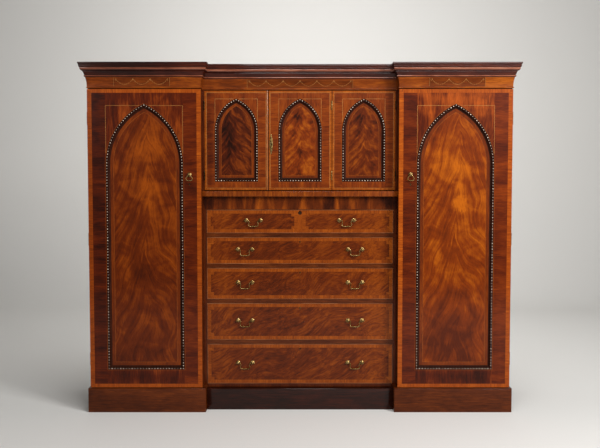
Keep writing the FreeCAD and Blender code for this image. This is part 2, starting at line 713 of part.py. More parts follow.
def escutcheon_plate(x, z, front):
    def place(across, up):
        return Vector(x + across, front - PLATE_THICKNESS, z + up)

    tip = PLATE_HALF_HEIGHT
    shoulder = PLATE_SHOULDER
    taper = (PLATE_WAIST * 0.3, (tip + shoulder) / 2)
    edges = []
    for hand in (1, -1):
        upper = [place(0, hand * tip), place(hand * taper[0], hand * taper[1]),
                 place(hand * PLATE_WAIST, hand * shoulder)]
        lower = [place(hand * PLATE_WAIST, -hand * shoulder), place(hand * taper[0], -hand * taper[1]),
                 place(0, -hand * tip)]
        swell = place(hand * PLATE_HALF_WIDTH, 0)
        edges += [arc(*upper), arc(upper[2], swell, lower[0]), arc(*lower)]
    plate = Part.Face(Part.Wire(edges)).extrude(Vector(0, PLATE_THICKNESS, 0))
    keyhole = keyhole_prism(x, z, 0, front - PLATE_THICKNESS, front)
    return plate.cut(keyhole).Solids[0]


# Handles

def bent_bar(points, radius):
    # A bar along straight steps, mitred where they meet, so that all its sides are flat
    steps = [(points[i + 1] - points[i]).normalize() for i in range(len(points) - 1)]
    rings = []
    for i, middle in enumerate(points):
        before = steps[max(i - 1, 0)]
        after = steps[min(i, len(steps) - 1)]
        along = (before + after).normalize()
        across = Vector(-along.z, 0, along.x) * (radius / along.dot(after))
        angles = [2 * math.pi * side / BAR_SIDES for side in range(BAR_SIDES)]
        rings.append([middle + across * math.cos(angle) + Vector(0, radius * math.sin(angle), 0)
                      for angle in angles])
    return flat_sided(rings)


def bow_path(half_points, x, y, z, start_along, collar, stations):
    # half_points runs from the end of the straight collar to the middle of the bottom, right hand side
    right = [Vector(x + across, y, z + up) for across, up in half_points]
    left = [Vector(x - across, y, z + up) for across, up in reversed(half_points[:-1])]
    curve = Part.BSplineCurve()
    end_along = Vector(start_along.x, 0, -start_along.z)
    curve.interpolate(Points=right + left, InitialTangent=start_along, FinalTangent=end_along)
    span = curve.LastParameter - curve.FirstParameter
    bow = [curve.value(curve.FirstParameter + span * i / stations) for i in range(stations + 1)]
    straight = Vector(collar, 0, 0)
    return [bow[0] + straight] + bow + [bow[-1] - straight]


def with_pins(bar, x, y, z, start, end, radius):
    # A pin at each end, from start to end away from the middle
    pins = [small_bar(Vector(x + hand * start, y, z), Vector(hand, 0, 0), radius, end - start, BAR_SIDES)
            for hand in (1, -1)]
    return bar.fuse(pins).removeSplitter().Solids[0]


def swan_neck_bail(x, y, z):
    shoulder = HANDLE_SPAN / 2 - POST_HEAD
    start = shoulder - BAIL_COLLAR
    half = [(start, 0), (1.06 * BAIL_NECK, -0.07 * BAIL_DROP), (BAIL_NECK, -0.27 * BAIL_DROP),
            (BAIL_WIDEST, -0.62 * BAIL_DROP), (0.93 * BAIL_WIDEST, -0.86 * BAIL_DROP),
            (0.7 * BAIL_WIDEST, -0.98 * BAIL_DROP), (0, -BAIL_DROP)]
    path = bow_path(half, x, y, z, Vector(-1, 0, 0), BAIL_COLLAR, BAIL_STATIONS)
    return with_pins(bent_bar(path, BAIL_RADIUS), x, y, z, start, shoulder + BAIL_PIN_LENGTH, BAIL_PIN)


def plain_post(x, z, front):
    # Rose, neck and round head, standing on a face
    sizes = [(ROSE_RADIUS, 0), (POST_RADIUS, 1.5 * ROSE_THICKNESS),
             (POST_HEAD, POST_REACH - 0.5 * POST_HEAD), (POST_HEAD, POST_REACH + 0.5 * POST_HEAD),
             (0.5 * POST_HEAD, POST_REACH + POST_HEAD)]
    return flat_sided([many_sided(Vector(x, front - reach, z), Vector(0, -1, 0), radius, POST_SIDES)
                       for radius, reach in sizes])


def handle_post(x, z, front, hand):
    # hand is the side, +1 or -1, on which the bail's pin goes in
    bore = clear_hole(Vector(x + hand * POST_HEAD, front - POST_REACH, z), Vector(-hand, 0, 0),
                      BAIL_PIN + BAIL_FIT, BAIL_PIN_LENGTH + BAIL_FIT, BAR_SIDES)
    return plain_post(x, z, front).cut(bore).Solids[0]


def ring_pull(x, y, z):
    half = [(POST_HEAD + RING_SHOULDER, 0), (0.72 * RING_WIDTH / 2, -0.22 * RING_DROP),
            (RING_WIDTH / 2, -0.6 * RING_DROP), (0.72 * RING_WIDTH / 2, -0.92 * RING_DROP), (0, -RING_DROP)]
    path = bow_path(half, x, y, z, Vector(1, 0, -0.3), BAIL_FIT - RING_SHOULDER, RING_STATIONS)
    return with_pins(bent_bar(path, RING_RADIUS), x, y, z, POST_HEAD - RING_PIN_LENGTH,
                     POST_HEAD + 0.5 * RING_SHOULDER, RING_PIN)


def ring_post(x, z, front):
    bore = clear_hole(Vector(x - POST_HEAD, front - POST_REACH, z), Vector(1, 0, 0),
                      RING_PIN + BAIL_FIT, 2 * POST_HEAD, BAR_SIDES)
    return plain_post(x, z, front).cut(bore).Solids[0]


# Drawers

def dovetails(x, y_back, z0, z1):
    # Tails on the end of one drawer side, wider at the tip, let into the back of the front
    count = max(2, int((z1 - z0) / TAIL_SPACING))
    pitch = (z1 - z0) / count
    tails = []
    for i in range(count):
        middle = z0 + pitch * (i + 0.5)
        root = TAIL_WIDTH / 2 - TAIL_SPLAY
        tip = TAIL_WIDTH / 2
        corners = [Vector(x, y_back, middle - root), Vector(x, y_back, middle + root),
                   Vector(x, y_back - TAIL_LENGTH, middle + tip),
                   Vector(x, y_back - TAIL_LENGTH, middle - tip)]
        tails.append(outline(corners).extrude(Vector(DRAWER_SIDE, 0, 0)))
    return tails


def cock_beads(half, front, z0, z1):
    outer_face = front - COCK_BEAD_PROUD
    back = front + COCK_BEAD_DEPTH
    strips = [box(-half, half, outer_face, back, z1 - COCK_BEAD_WIDTH, z1),
              box(-half, half, outer_face, back, z0, z0 + COCK_BEAD_WIDTH),
              box(-half, -half + COCK_BEAD_WIDTH, outer_face, back,
                  z0 + COCK_BEAD_WIDTH, z1 - COCK_BEAD_WIDTH),
              box(half - COCK_BEAD_WIDTH, half, outer_face, back,
                  z0 + COCK_BEAD_WIDTH, z1 - COCK_BEAD_WIDTH)]
    return strips


def drawer(bottom, top, is_top):
    half = CHEST_INSIDE - DRAWER_GAP
    front = CENTRE_FRONT
    front_back = front + DRAWER_FRONT
    z0 = bottom + DRAWER_GAP
    z1 = top - DRAWER_GAP
    side_outer = CHEST_INSIDE - DRAWER_SIDE_CLEARANCE - DRAWER_GAP
    side_inner = side_outer - DRAWER_SIDE
    side_bottom = bottom + DRAWER_RUN_CLEARANCE
    side_top = z1 - DRAWER_SIDE_DROP
    end = CASE_BACK - DRAWER_BACK_CLEARANCE
    keyhole_z = top - (TOP_KEYHOLE_FROM_TOP if is_top else KEYHOLE_FROM_TOP)
    handle_x = TOP_HANDLE_PLACE if is_top else HANDLE_PLACE
    handle_z = (bottom + top) / 2 + HANDLE_RISE
    posts = [(hand * handle_x + inward * HANDLE_SPAN / 2, -inward)
             for hand in (1, -1) for inward in (1, -1)]

    tails = dovetails(side_inner, front_back, z0 + COCK_BEAD_WIDTH, side_top)
    side = box(side_inner, side_outer, front_back, end, side_bottom, side_top).fuse(tails)
    side = side.removeSplitter().Solids[0]
    sockets = tails + mirrored_all(tails)
    beads = cock_beads(half, front, z0, z1)
    board = box(-half, half, front, front_back, z0, z1)
    keyhole = keyhole_cuts(0, keyhole_z, front, DRAWER_FRONT)
    board = cut_all(board, beads + sockets + keyhole)
    floor = box(-side_inner, side_inner, front_back, end, z0 + COCK_BEAD_WIDTH,
                z0 + COCK_BEAD_WIDTH + DRAWER_BOTTOM)
    back = box(-side_inner, side_inner, end - DRAWER_BACK, end,
               z0 + COCK_BEAD_WIDTH + DRAWER_BOTTOM, side_top)
    fittings = [thread_escutcheon(0, keyhole_z, front), lock_case(0, keyhole_z, front_back)]
    fittings += [handle_post(x, handle_z, front, hand) for x, hand in posts]
    bail_y = front - POST_REACH
    return {"front": [board] + beads, "box": [side, mirrored(side), floor, back], "fittings": fittings,
            "left_bail": [swan_neck_bail(-handle_x, bail_y, handle_z)],
            "right_bail": [swan_neck_bail(handle_x, bail_y, handle_z)]}


# Whole doors

def wing_door(hinges):
    arch = {"centre": (INNER_X + OUTER_X) / 2, "half": WING_ARCH_HALF, "rise": WING_ARCH_RISE,
            "foot": WING_DOOR_BOTTOM + WING_ARCH_FOOT,
            "spring": DOOR_TOP - WING_ARCH_HEAD - WING_ARCH_RISE}
    pull_x = INNER_X + PULL_FROM_EDGE
    keyhole_z = PULL_HEIGHT - DOOR_KEYHOLE_DROP
    back = WING_FRONT + WING_DOOR_THICKNESS
    cuts = [hinge["moving_pocket"] for hinge in hinges]
    cuts += keyhole_cuts(pull_x, keyhole_z, WING_FRONT, WING_DOOR_THICKNESS)
    frame = door_frame(INNER_X, OUTER_X, WING_DOOR_BOTTOM, DOOR_TOP, WING_FRONT, WING_DOOR_THICKNESS,
                       arch, cuts)
    fittings = [hinge["moving"] for hinge in hinges]
    fittings += [ring_post(pull_x, PULL_HEIGHT, WING_FRONT),
                 thread_escutcheon(pull_x, keyhole_z, WING_FRONT), lock_case(pull_x, keyhole_z, back)]
    return {"frame": frame, "panel": [door_panel(WING_FRONT, arch)],
            "beading": bead_moulding(WING_FRONT, arch), "fittings": fittings,
            "ring": [ring_pull(pull_x, WING_FRONT - POST_REACH, PULL_HEIGHT)]}


def upper_door(x0, cuts):
    arch = {"centre": x0 + UPPER_DOOR_WIDTH / 2, "half": UPPER_ARCH_HALF, "rise": UPPER_ARCH_RISE,
            "foot": UPPER_DOOR_BOTTOM + UPPER_ARCH_FOOT,
            "spring": DOOR_TOP - UPPER_ARCH_HEAD - UPPER_ARCH_RISE}
    frame = door_frame(x0, x0 + UPPER_DOOR_WIDTH, UPPER_DOOR_BOTTOM, DOOR_TOP, CENTRE_FRONT,
                       UPPER_DOOR_THICKNESS, arch, cuts)
    return {"frame": frame, "panel": [door_panel(CENTRE_FRONT, arch)],
            "beading": bead_moulding(CENTRE_FRONT, arch)}


def meeting_bead(x1):
    strip = Part.makeCylinder(MEETING_BEAD_WIDTH / 2, DOOR_TOP - UPPER_DOOR_BOTTOM,
                              Vector(x1 - MEETING_BEAD_WIDTH / 2, CENTRE_FRONT, UPPER_DOOR_BOTTOM))
    proud = box(x1 - MEETING_BEAD_WIDTH, x1, CENTRE_FRONT - MEETING_BEAD_PROUD, CENTRE_FRONT,
                UPPER_DOOR_BOTTOM, DOOR_TOP)
    return strip.common(proud).Solids[0]


def save_group(prefix, pieces):
    for name, solids in pieces.items():
        save("%s_%s" % (prefix, name), solids)


def build():
    os.makedirs("parts", exist_ok=True)
    save("plinths", plinths())
    save("frieze", frieze())
    save("cornice", cornice())
    save("chest_carcase", chest_carcase())
    save("drawer_dividers", drawer_dividers())
    save("chest_ledge", [chest_ledge()])
    save("cupboard_shelf", [cupboard_shelf()])
    save("back_boards", back_boards())
    save("hanging_rails", hanging_rails())

    right_hinges = wing_hinges()
    right_carcase = wing_carcase([hinge["fixed_pocket"] for hinge in right_hinges])
    save("right_wing_carcase", right_carcase)
    save("left_wing_carcase", mirrored_all(right_carcase))
    right_door = wing_door(right_hinges)
    save_group("right_wing_door", right_door)
    save_group("left_wing_door", {name: mirrored_all(solids) for name, solids in right_door.items()})

    side_hinges = upper_hinges(UPPER_DOORS_HALF + UPPER_DOOR_GAP / 2)
    side_pockets = [hinge["moving_pocket"] for hinge in side_hinges]
    side_leaves = [hinge["moving"] for hinge in side_hinges]
    fold_hinges = upper_hinges(UPPER_DOOR_WIDTH / 2 + UPPER_DOOR_GAP / 2)
    save("cupboard_carcase", cupboard_carcase([hinge["fixed_pocket"] for hinge in side_hinges]))
    fixed_leaves = [hinge["fixed"] for hinge in right_hinges + side_hinges]
    save("fixed_hinge_leaves", fixed_leaves + mirrored_all(fixed_leaves))

    left_door = upper_door(-UPPER_DOORS_HALF, mirrored_all(side_pockets))
    left_door["beading"].append(meeting_bead(UPPER_DOOR_WIDTH - UPPER_DOORS_HALF))
    left_door["fittings"] = mirrored_all(side_leaves)
    save_group("upper_left_door", left_door)

    right_cuts = side_pockets + [hinge["fixed_pocket"] for hinge in fold_hinges]
    upper_right = upper_door(UPPER_DOORS_HALF - UPPER_DOOR_WIDTH, right_cuts)
    upper_right["fittings"] = side_leaves + [hinge["fixed"] for hinge in fold_hinges]
    save_group("upper_right_door", upper_right)

    plate_x = -UPPER_DOOR_WIDTH / 2 + PLATE_FROM_EDGE
    lock_x = -UPPER_DOOR_WIDTH / 2 + LOCK_WIDTH / 2
    middle_cuts = [hinge["moving_pocket"] for hinge in fold_hinges]
    middle_cuts.append(keyhole_prism(plate_x, PLATE_HEIGHT, 0, CENTRE_FRONT,
                                     CENTRE_FRONT + UPPER_DOOR_THICKNESS))
    middle = upper_door(-UPPER_DOOR_WIDTH / 2, middle_cuts)
    middle["fittings"] = [hinge["moving"] for hinge in fold_hinges]
    middle["fittings"] += [escutcheon_plate(plate_x, PLATE_HEIGHT, CENTRE_FRONT),
                           lock_case(lock_x, PLATE_HEIGHT, CENTRE_FRONT + UPPER_DOOR_THICKNESS)]
    save_group("upper_middle_door", middle)

    spaces = drawer_spaces()
    for i, (bottom, top) in enumerate(spaces):
        number = len(spaces) - i
        save_group("drawer_%d" % number, drawer(bottom, top, number == 1))


build()
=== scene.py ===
import cmath
import functools
import json
import math

import bpy
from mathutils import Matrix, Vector


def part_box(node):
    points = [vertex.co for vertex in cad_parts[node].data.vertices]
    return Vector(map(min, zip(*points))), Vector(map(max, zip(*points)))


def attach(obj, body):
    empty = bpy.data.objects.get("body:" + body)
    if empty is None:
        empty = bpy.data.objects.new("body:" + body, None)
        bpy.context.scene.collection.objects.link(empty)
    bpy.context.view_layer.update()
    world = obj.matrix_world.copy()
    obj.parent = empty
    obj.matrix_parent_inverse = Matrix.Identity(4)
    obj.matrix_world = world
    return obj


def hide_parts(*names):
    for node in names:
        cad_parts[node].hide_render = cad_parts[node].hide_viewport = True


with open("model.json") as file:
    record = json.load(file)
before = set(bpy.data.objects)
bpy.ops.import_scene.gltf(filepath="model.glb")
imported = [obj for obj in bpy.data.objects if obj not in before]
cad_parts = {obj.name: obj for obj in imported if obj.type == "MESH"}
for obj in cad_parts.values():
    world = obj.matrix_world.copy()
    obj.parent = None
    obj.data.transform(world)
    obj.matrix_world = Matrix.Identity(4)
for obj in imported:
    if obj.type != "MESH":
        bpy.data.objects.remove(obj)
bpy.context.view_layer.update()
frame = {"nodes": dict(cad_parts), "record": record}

mm = 0.001
weld = 0.01 * mm  # corners nearer to each other than this are one corner
bodyOf = {node: body for body, nodes in frame["record"]["behaviour"]["bodies"].items() for node in nodes}
wingFront, centreFront = -268.5, -188.5  # faces of the doors and drawers, in millimetres
sheetThickness = 0.6
print("frame loaded")


# Small helpers

def linear(hexColour):
    values = [int(hexColour[i:i + 2], 16) / 255 for i in (1, 3, 5)]
    return [v / 12.92 if v <= 0.04045 else ((v + 0.055) / 1.055) ** 2.4 for v in values] + [1]


def addNode(tree, kind, settings):
    # A node with its settings, where a node or a socket among them is linked
    node = tree.nodes.new("ShaderNode" + kind)
    for key, value in settings.items():
        if key == "stops":
            elements = node.color_ramp.elements
            elements.remove(elements[-1])
            for i, (place, colour) in enumerate(value):
                element = elements.new(place) if i else elements[0]
                element.position, element.color = place, linear(colour)
        elif isinstance(value, bpy.types.Node):
            tree.links.new(value.outputs[0], node.inputs[key])
        elif isinstance(value, bpy.types.NodeSocket):
            tree.links.new(value, node.inputs[key])
        elif isinstance(key, int) or key in node.inputs:
            node.inputs[key].default_value = value
        else:
            setattr(node, key, value)
    return node


def newMaterial(name):
    # An empty material, the function that adds a node to it, and the object's own coordinates
    material = bpy.data.materials.new(name)
    material.use_nodes = True
    material.node_tree.nodes.clear()
    add = functools.partial(addNode, material.node_tree)
    return material, add, add("TexCoord", {}).outputs["Object"]


def picked(*pieces):
    # Nothing selected but these, with the first one active
    if bpy.context.object and bpy.context.object.mode != "OBJECT":
        bpy.ops.object.mode_set(mode="OBJECT")
    bpy.ops.object.select_all(action="DESELECT")
    for piece in pieces:
        piece.select_set(True)
    if pieces:
        bpy.context.view_layer.objects.active = pieces[0]
        return pieces[0]


def edit():
    bpy.ops.object.mode_set(mode="EDIT")
    bpy.ops.mesh.select_all(action="SELECT")


def leaveEdit(outward=True):
    # Back to the object, with its faces turned outwards unless they are right already
    if outward:
        bpy.ops.mesh.select_all(action="SELECT")
        bpy.ops.mesh.normals_make_consistent(inside=False)
    bpy.ops.object.mode_set(mode="OBJECT")


def started(add, **settings):
    # A primitive at its size and place, which are then kept in its mesh
    picked()
    add(**settings)
    bpy.ops.object.transform_apply(location=True, rotation=True, scale=True)
    return bpy.context.object


def dressed(piece, *materials):
    for material in materials:
        piece.data.materials.append(material)
    return piece


def joined(name, pieces):
    picked(*pieces)
    if len(pieces) > 1:
        bpy.ops.object.join()
    pieces[0].name = pieces[0].data.name = name
    return pieces[0]


def smoothed(piece, degrees=40):
    # Faces that meet at less than an angle are shaded as one curve
    picked(piece)
    bpy.ops.object.shade_smooth_by_angle(angle=math.radians(degrees))
    return piece


def eased(piece, width, segments=2, sharp=30):
    # Rounds over the arrises that are sharper than an angle in degrees
    ease = picked(piece).modifiers.new("ease", "BEVEL")
    ease.width = width * mm
    ease.segments = segments
    ease.limit_method = "ANGLE"
    ease.angle_limit = math.radians(sharp)
    bpy.ops.object.modifier_apply(modifier="ease")
    return piece


def copied(piece, shift):
    # A copy with its own mesh, moved by millimetres that are kept in the mesh
    picked(piece)
    bpy.ops.object.duplicate()
    bpy.ops.transform.translate(value=Vector(shift) * mm)
    bpy.ops.object.transform_apply(location=True, rotation=True, scale=True)
    return bpy.context.object


def dropped(*pieces):
    picked(*pieces)
    bpy.ops.object.delete()


def finishPiece(piece, body, slot, nodes=()):
    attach(piece, body)
    if nodes:
        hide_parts(*nodes)
    return piece


def block(low, high, material, easing=0):
    # A board from two corners in millimetres
    low, high = Vector(low) * mm, Vector(high) * mm
    piece = started(bpy.ops.mesh.primitive_cube_add, size=1, location=(low + high) / 2, scale=high - low)
    if easing:
        eased(piece, easing)
    return dressed(piece, material)


def outlined(corners, fill="NGON"):
    # A ring of corners in millimetres
    piece = started(bpy.ops.mesh.primitive_circle_add, vertices=len(corners), radius=1, fill_type=fill)
    for vertex, corner in zip(piece.data.vertices, corners):
        vertex.co = Vector(corner) * mm
    return piece


def drawnOut(corners, shift, material, cuts=()):
    # A flat outline drawn out by a shift, then cut off at planes that have a place and a normal
    piece = outlined(corners)
    edit()
    bpy.ops.mesh.extrude_region_move(TRANSFORM_OT_translate={"value": Vector(shift) * mm})
    for place, normal in cuts:
        bpy.ops.mesh.select_all(action="SELECT")
        bpy.ops.mesh.bisect(plane_co=place * mm, plane_no=normal, clear_inner=True, use_fill=True)
    leaveEdit()
    return dressed(piece, material)


def veneer(points, face, thickness, material):
    # A thin sheet laid on a face that looks to the front, with corners at x and z
    return drawnOut([(x, face, z) for x, z in points], (0, -thickness, 0), material)


def rectangle(x0, x1, z0, z1):
    return [(x0, z0), (x1, z0), (x1, z1), (x0, z1)]


def roundBar(middle, length, foot, tip, turn, sides, ease, material):
    # A turned bar, upright or laid over by a turn about y, with its ends eased
    piece = started(bpy.ops.mesh.primitive_cone_add, vertices=sides, radius1=foot * mm, radius2=tip * mm,
                    depth=length * mm, location=Vector(middle) * mm, rotation=(0, turn, 0))
    return smoothed(dressed(eased(piece, *ease), material))


def bentRod(places, radii, fineness, material):
    # A round rod bent through places in millimetres, with a radius at each
    # Fineness is Blender's steps round and along it, and the angle in degrees that is smoothed over
    picked()
    bpy.ops.curve.primitive_bezier_curve_add()
    curve = bpy.context.object.data
    curve.splines[0].bezier_points.add(len(places) - 2)
    for point, place, radius in zip(curve.splines[0].bezier_points, places, radii):
        point.co = Vector(place) * mm
        point.radius = radius
        point.handle_left_type = point.handle_right_type = "AUTO"
    curve.bevel_depth = mm
    curve.bevel_resolution, curve.resolution_u, smooth = fineness
    curve.use_fill_caps = True
    bpy.ops.object.convert(target="MESH")
    return smoothed(dressed(bpy.context.object, material), smooth)


# easing in millimetres, the angle in radians up to which faces are one, and the angle in degrees smoothed over
boardLook = {"ease": 1, "flat": 0.01, "smooth": 35}


def easedCopy(node, material, slot):
    # The node's own shape with its arrises eased, standing for the node
    picked(frame["nodes"][node])
    bpy.ops.object.duplicate()
    piece = bpy.context.object
    edit()
    bpy.ops.mesh.remove_doubles(threshold=weld)
    bpy.ops.mesh.dissolve_limited(angle_limit=boardLook["flat"])
    leaveEdit(outward=False)
    piece.name = piece.data.name = node + "_eased"
    piece.data.materials.clear()
    eased(dressed(piece, material), boardLook["ease"])
    low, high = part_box(node)
    for vertex in piece.data.vertices:
        vertex.co = [min(max(v, a), b) for v, a, b in zip(vertex.co, low, high)]
    return finishPiece(smoothed(piece, boardLook["smooth"]), bodyOf[node], slot, [node])


# Materials: lengths in millimetres, colours from the darkest to the lightest grain

plainWood = {"streak": 5, "figure": 60, "clouds": 0.4, "draw": 2.5, "bend": 300, "sway": 8, "lean": 0,
             "shift": (0, 0, 0), "gloss": 0.34, "coat": 0.18, "spots": ()}
plainCrotch = dict(plainWood, grain="Z", wavy=3, fine=5, crisp=0.6, curl=0.5)
# real pores are about 0.2 mm wide, drawn coarser here so that they show
polishLook = {"pore": 1.4, "poreLength": 25, "streakLength": 20, "specular": 0.06, "coatRoughness": 0.09}


def stretched(grain, times):
    # How many times longer a pattern is along the grain than across it
    return [times if axis == grain else 1 for axis in "XYZ"]


def spotTone(add, place, tone, spots):
    # Lighter or darker places in a sheet: x, z, half width, half height and amount
    for x, z, wide, high, amount in spots:
        local = add("Mapping", {"Location": (-x / wide, 0, -z / high),
                                "Scale": (1000 / wide, 0, 1000 / high), "Vector": place})
        ripple = add("TexNoise", {"Scale": 2.2, "Detail": 2, "Vector": local})
        radius = add("VectorMath", {"operation": "LENGTH", 0: local}).outputs["Value"]
        edge = add("Math", {"operation": "ADD", 0: radius, 1: ripple})
        fade = add("MapRange", {"interpolation_type": "SMOOTHSTEP", "From Min": 0.5, "From Max": 1.5,
                                "To Min": amount, "To Max": 0, "Value": edge})
        tone = add("Math", {"operation": "ADD", 0: tone, 1: fade})
    return tone


def polish(add, place, tone, look):
    # Colour from tone, open pores, and French polish, which gives a deep colour under a soft clear gloss
    tone = spotTone(add, place, tone, look["spots"])
    ramp = add("ValToRGB", {"stops": zip((0.3, 0.5, 0.7), look["tones"]), "Fac": tone})
    poreMap = add("Mapping", {"vector_type": "TEXTURE", "Vector": place,
                              "Scale": stretched(look["grain"], polishLook["poreLength"])})
    pores = add("TexNoise", {"Scale": 1000 / polishLook["pore"], "Detail": 2, "Vector": poreMap})
    poreRamp = add("ValToRGB", {"stops": [(0.36, "#B0A098"), (0.48, "#FFFFFF")], "Fac": pores})
    colour = add("Mix", {"data_type": "RGBA", "blend_type": "MULTIPLY", "Factor": 0.7, 6: ramp, 7: poreRamp})
    rough = add("MapRange", {"From Min": 0.3, "From Max": 0.7, "To Min": look["gloss"] + 0.08,
                             "To Max": look["gloss"], "Value": tone})
    bump = add("Bump", {"Strength": 0.1, "Distance": 0.0003, "Height": pores})
    shader = add("BsdfPrincipled", {"IOR": 1.5, "Specular IOR Level": polishLook["specular"],
                                    "Coat Weight": look["coat"], "Coat Roughness": polishLook["coatRoughness"],
                                    "Base Color": colour.outputs[2], "Roughness": rough, "Normal": bump})
    add("OutputMaterial", {"Surface": shader})


def polishedWood(name, base, grain, **changes):
    # Sawn wood: streaks along the grain and clouds of figure across it
    look = dict(plainWood, **base)
    look.update(changes, grain=grain)
    material, add, place = newMaterial(name)
    bend = add("TexNoise", {"Scale": 1000 / look["bend"], "Detail": 1, "Vector": place})
    bent = add("VectorMath", {"operation": "MULTIPLY_ADD", 0: bend.outputs["Color"],
                              1: [look["sway"] * mm] * 3, 2: place})
    lie = {"vector_type": "TEXTURE", "Rotation": (0, math.radians(look["lean"]), 0), "Location": look["shift"],
           "Vector": bent}
    along = add("Mapping", dict(lie, Scale=stretched(grain, polishLook["streakLength"])))
    cloud = add("Mapping", dict(lie, Scale=stretched(grain, look["draw"])))
    streaks = add("TexNoise", {"Scale": 1000 / look["streak"], "Detail": 5, "Roughness": 0.6,
                               "Distortion": 0.25, "Vector": along})
    figure = add("TexNoise", {"Scale": 1000 / look["figure"], "Detail": 3, "Roughness": 0.55,
                              "Distortion": 0.9, "Vector": cloud})
    tone = add("Mix", {"data_type": "FLOAT", "Factor": look["clouds"], 2: streaks, 3: figure})
    if "boards" in look:
        board = add("NewGeometry", {}).outputs["Random Per Island"]
        tone = add("Math", {"operation": "MULTIPLY_ADD", 0: board, 1: look["boards"], 2: tone})
    polish(add, place, tone, look)
    return material


def crotchVeneer(name, look):
    # Veneer cut through a fork of the trunk: feathers that fall away on both sides of a stem
    look = dict(plainCrotch, **look)
    material, add, place = newMaterial(name)
    centre = add("Mapping", {"Location": (-look["x"] * mm, 0, -look["z"] * mm), "Vector": place})
    wander = add("TexNoise", {"Scale": 1000 / look["wander"], "Detail": look["wavy"], "Vector": centre})
    split = add("SeparateXYZ", {"Vector": centre})
    drift = add("MapRange", {"To Min": -look["drift"] * mm, "To Max": look["drift"] * mm, "Value": wander})
    offset = add("Math", {"operation": "ADD", 0: split.outputs["X"], 1: drift})
    side = add("Math", {"operation": "ABSOLUTE", 0: offset})
    bow = add("Math", {"operation": "POWER", 0: side, 1: look["bow"]})
    fall = add("Math", {"operation": "MULTIPLY_ADD", 0: bow, 1: look["fall"], 2: split.outputs["Z"]})
    sag = add("Math", {"operation": "ADD", 0: fall, 1: drift})
    reach = add("Math", {"operation": "MULTIPLY", 0: offset, 1: look["comb"]})
    feather = add("CombineXYZ", {"X": sag, "Y": reach})
    barbs = add("TexNoise", {"Scale": 1000 / look["barb"], "Detail": look["fine"],
                             "Roughness": look["crisp"], "Distortion": look["curl"], "Vector": feather})
    clouds = add("TexNoise", {"Scale": 1000 / look["cloud"], "Detail": 4, "Distortion": 0.8, "Vector": centre})
    tone = add("Mix", {"data_type": "FLOAT", "Factor": look["clouds"], 2: barbs, 3: clouds})
    polish(add, place, tone, look)
    return material


def paintedHighlightPearl(name, face, look):
    # Ebonised beads with a painted highlight: pale and glossy on the crowns, dark towards the foot
    material, add, place = newMaterial(name)
    split = add("SeparateXYZ", {"Vector": place})
    height = add("MapRange", {"From Min": (face - look["dark"]) * mm, "From Max": (face - look["pale"]) * mm,
                              "Value": split.outputs["Y"]})
    mottle = add("TexNoise", {"Scale": 1000 / look["mottle"], "Detail": 2, "Vector": place})
    tone = add("Mix", {"data_type": "FLOAT", "Factor": 0.3, 2: height, 3: mottle})
    ramp = add("ValToRGB", {"stops": zip((0.64, 0.78, 0.86), look["tones"]), "Fac": tone})
    shader = add("BsdfPrincipled", {"Roughness": 0.3, "Specular IOR Level": 0.2, "Coat Weight": 0.25,
                                    "Coat Roughness": 0.1, "Base Color": ramp})
    add("OutputMaterial", {"Surface": shader})
    return material


def castBrass(name, look):
    # Cast brass, polished and then worn: bright and brown in random blotches of tarnish
    material, add, place = newMaterial(name)
    tarnish = add("TexNoise", {"Scale": 1000 / look["blotch"], "Detail": 4, "Roughness": 0.65, "Vector": place})
    grain = add("TexNoise", {"Scale": 1000 / look["grain"], "Detail": 2, "Vector": place})
    ramp = add("ValToRGB", {"stops": zip((0.32, 0.5, 0.66), look["tones"]), "Fac": tarnish})
    rough = add("MapRange", {"From Min": 0.3, "From Max": 0.7, "To Min": 0.46, "To Max": 0.24, "Value": tarnish})
    bump = add("Bump", {"Strength": 0.1, "Distance": 0.0003, "Height": grain})
    shader = add("BsdfPrincipled", {"Metallic": 1, "Base Color": ramp, "Roughness": rough, "Normal": bump})
    add("OutputMaterial", {"Surface": shader})
    return material


# Cross-cut mahogany of the wing doors: deep red brown, short streaks and slow clouds
frameTone = {"tones": ("#2A0A02", "#501903", "#722C06"), "figure": 80, "clouds": 0.6, "draw": 3.5}
# painted shade on the left wing's outer stile and painted light on the right wing's outer stile, as light falls from
# the right
frameAcross = polishedWood("mahoganyCrossGrain", frameTone, "X",
                           spots=((-1190, 1000, 110, 3000, -0.14), (1190, 1000, 110, 3000, 0.07)))
# painted light on the right wing's head rail, and painted shade along both foot rails
frameUpright = polishedWood("mahoganyUprightGrain", frameTone, "Z", tones=("#2A0A02", "#501903", "#96430E"),
                            spots=((919, 1850, 340, 130, 0.17), (-919, 1860, 340, 120, 0.01),
                                   (919, 210, 340, 70, -0.13), (-919, 210, 340, 70, -0.1)))
borderWood = polishedWood("mahoganyPanelBorder", frameTone, "Z", tones=("#3C1404", "#602506", "#7C370A"))
# Redder mahogany of the upper doors, with a smaller figure
upperFrameTone = {"tones": ("#421605", "#6C2B08", "#90440E"), "figure": 50, "clouds": 0.5, "draw": 3.5}
# painted shade on the upper left door's left stile, beside the left wing, and a little painted light on the middle
# door's stiles
upperFrameAcross = polishedWood("redMahoganyCrossGrain", upperFrameTone, "X",
                                spots=((-545, 1620, 60, 500, -0.14), (0, 1620, 170, 500, 0.03)))
upperFrameUpright = polishedWood("redMahoganyUprightGrain", upperFrameTone, "Z")
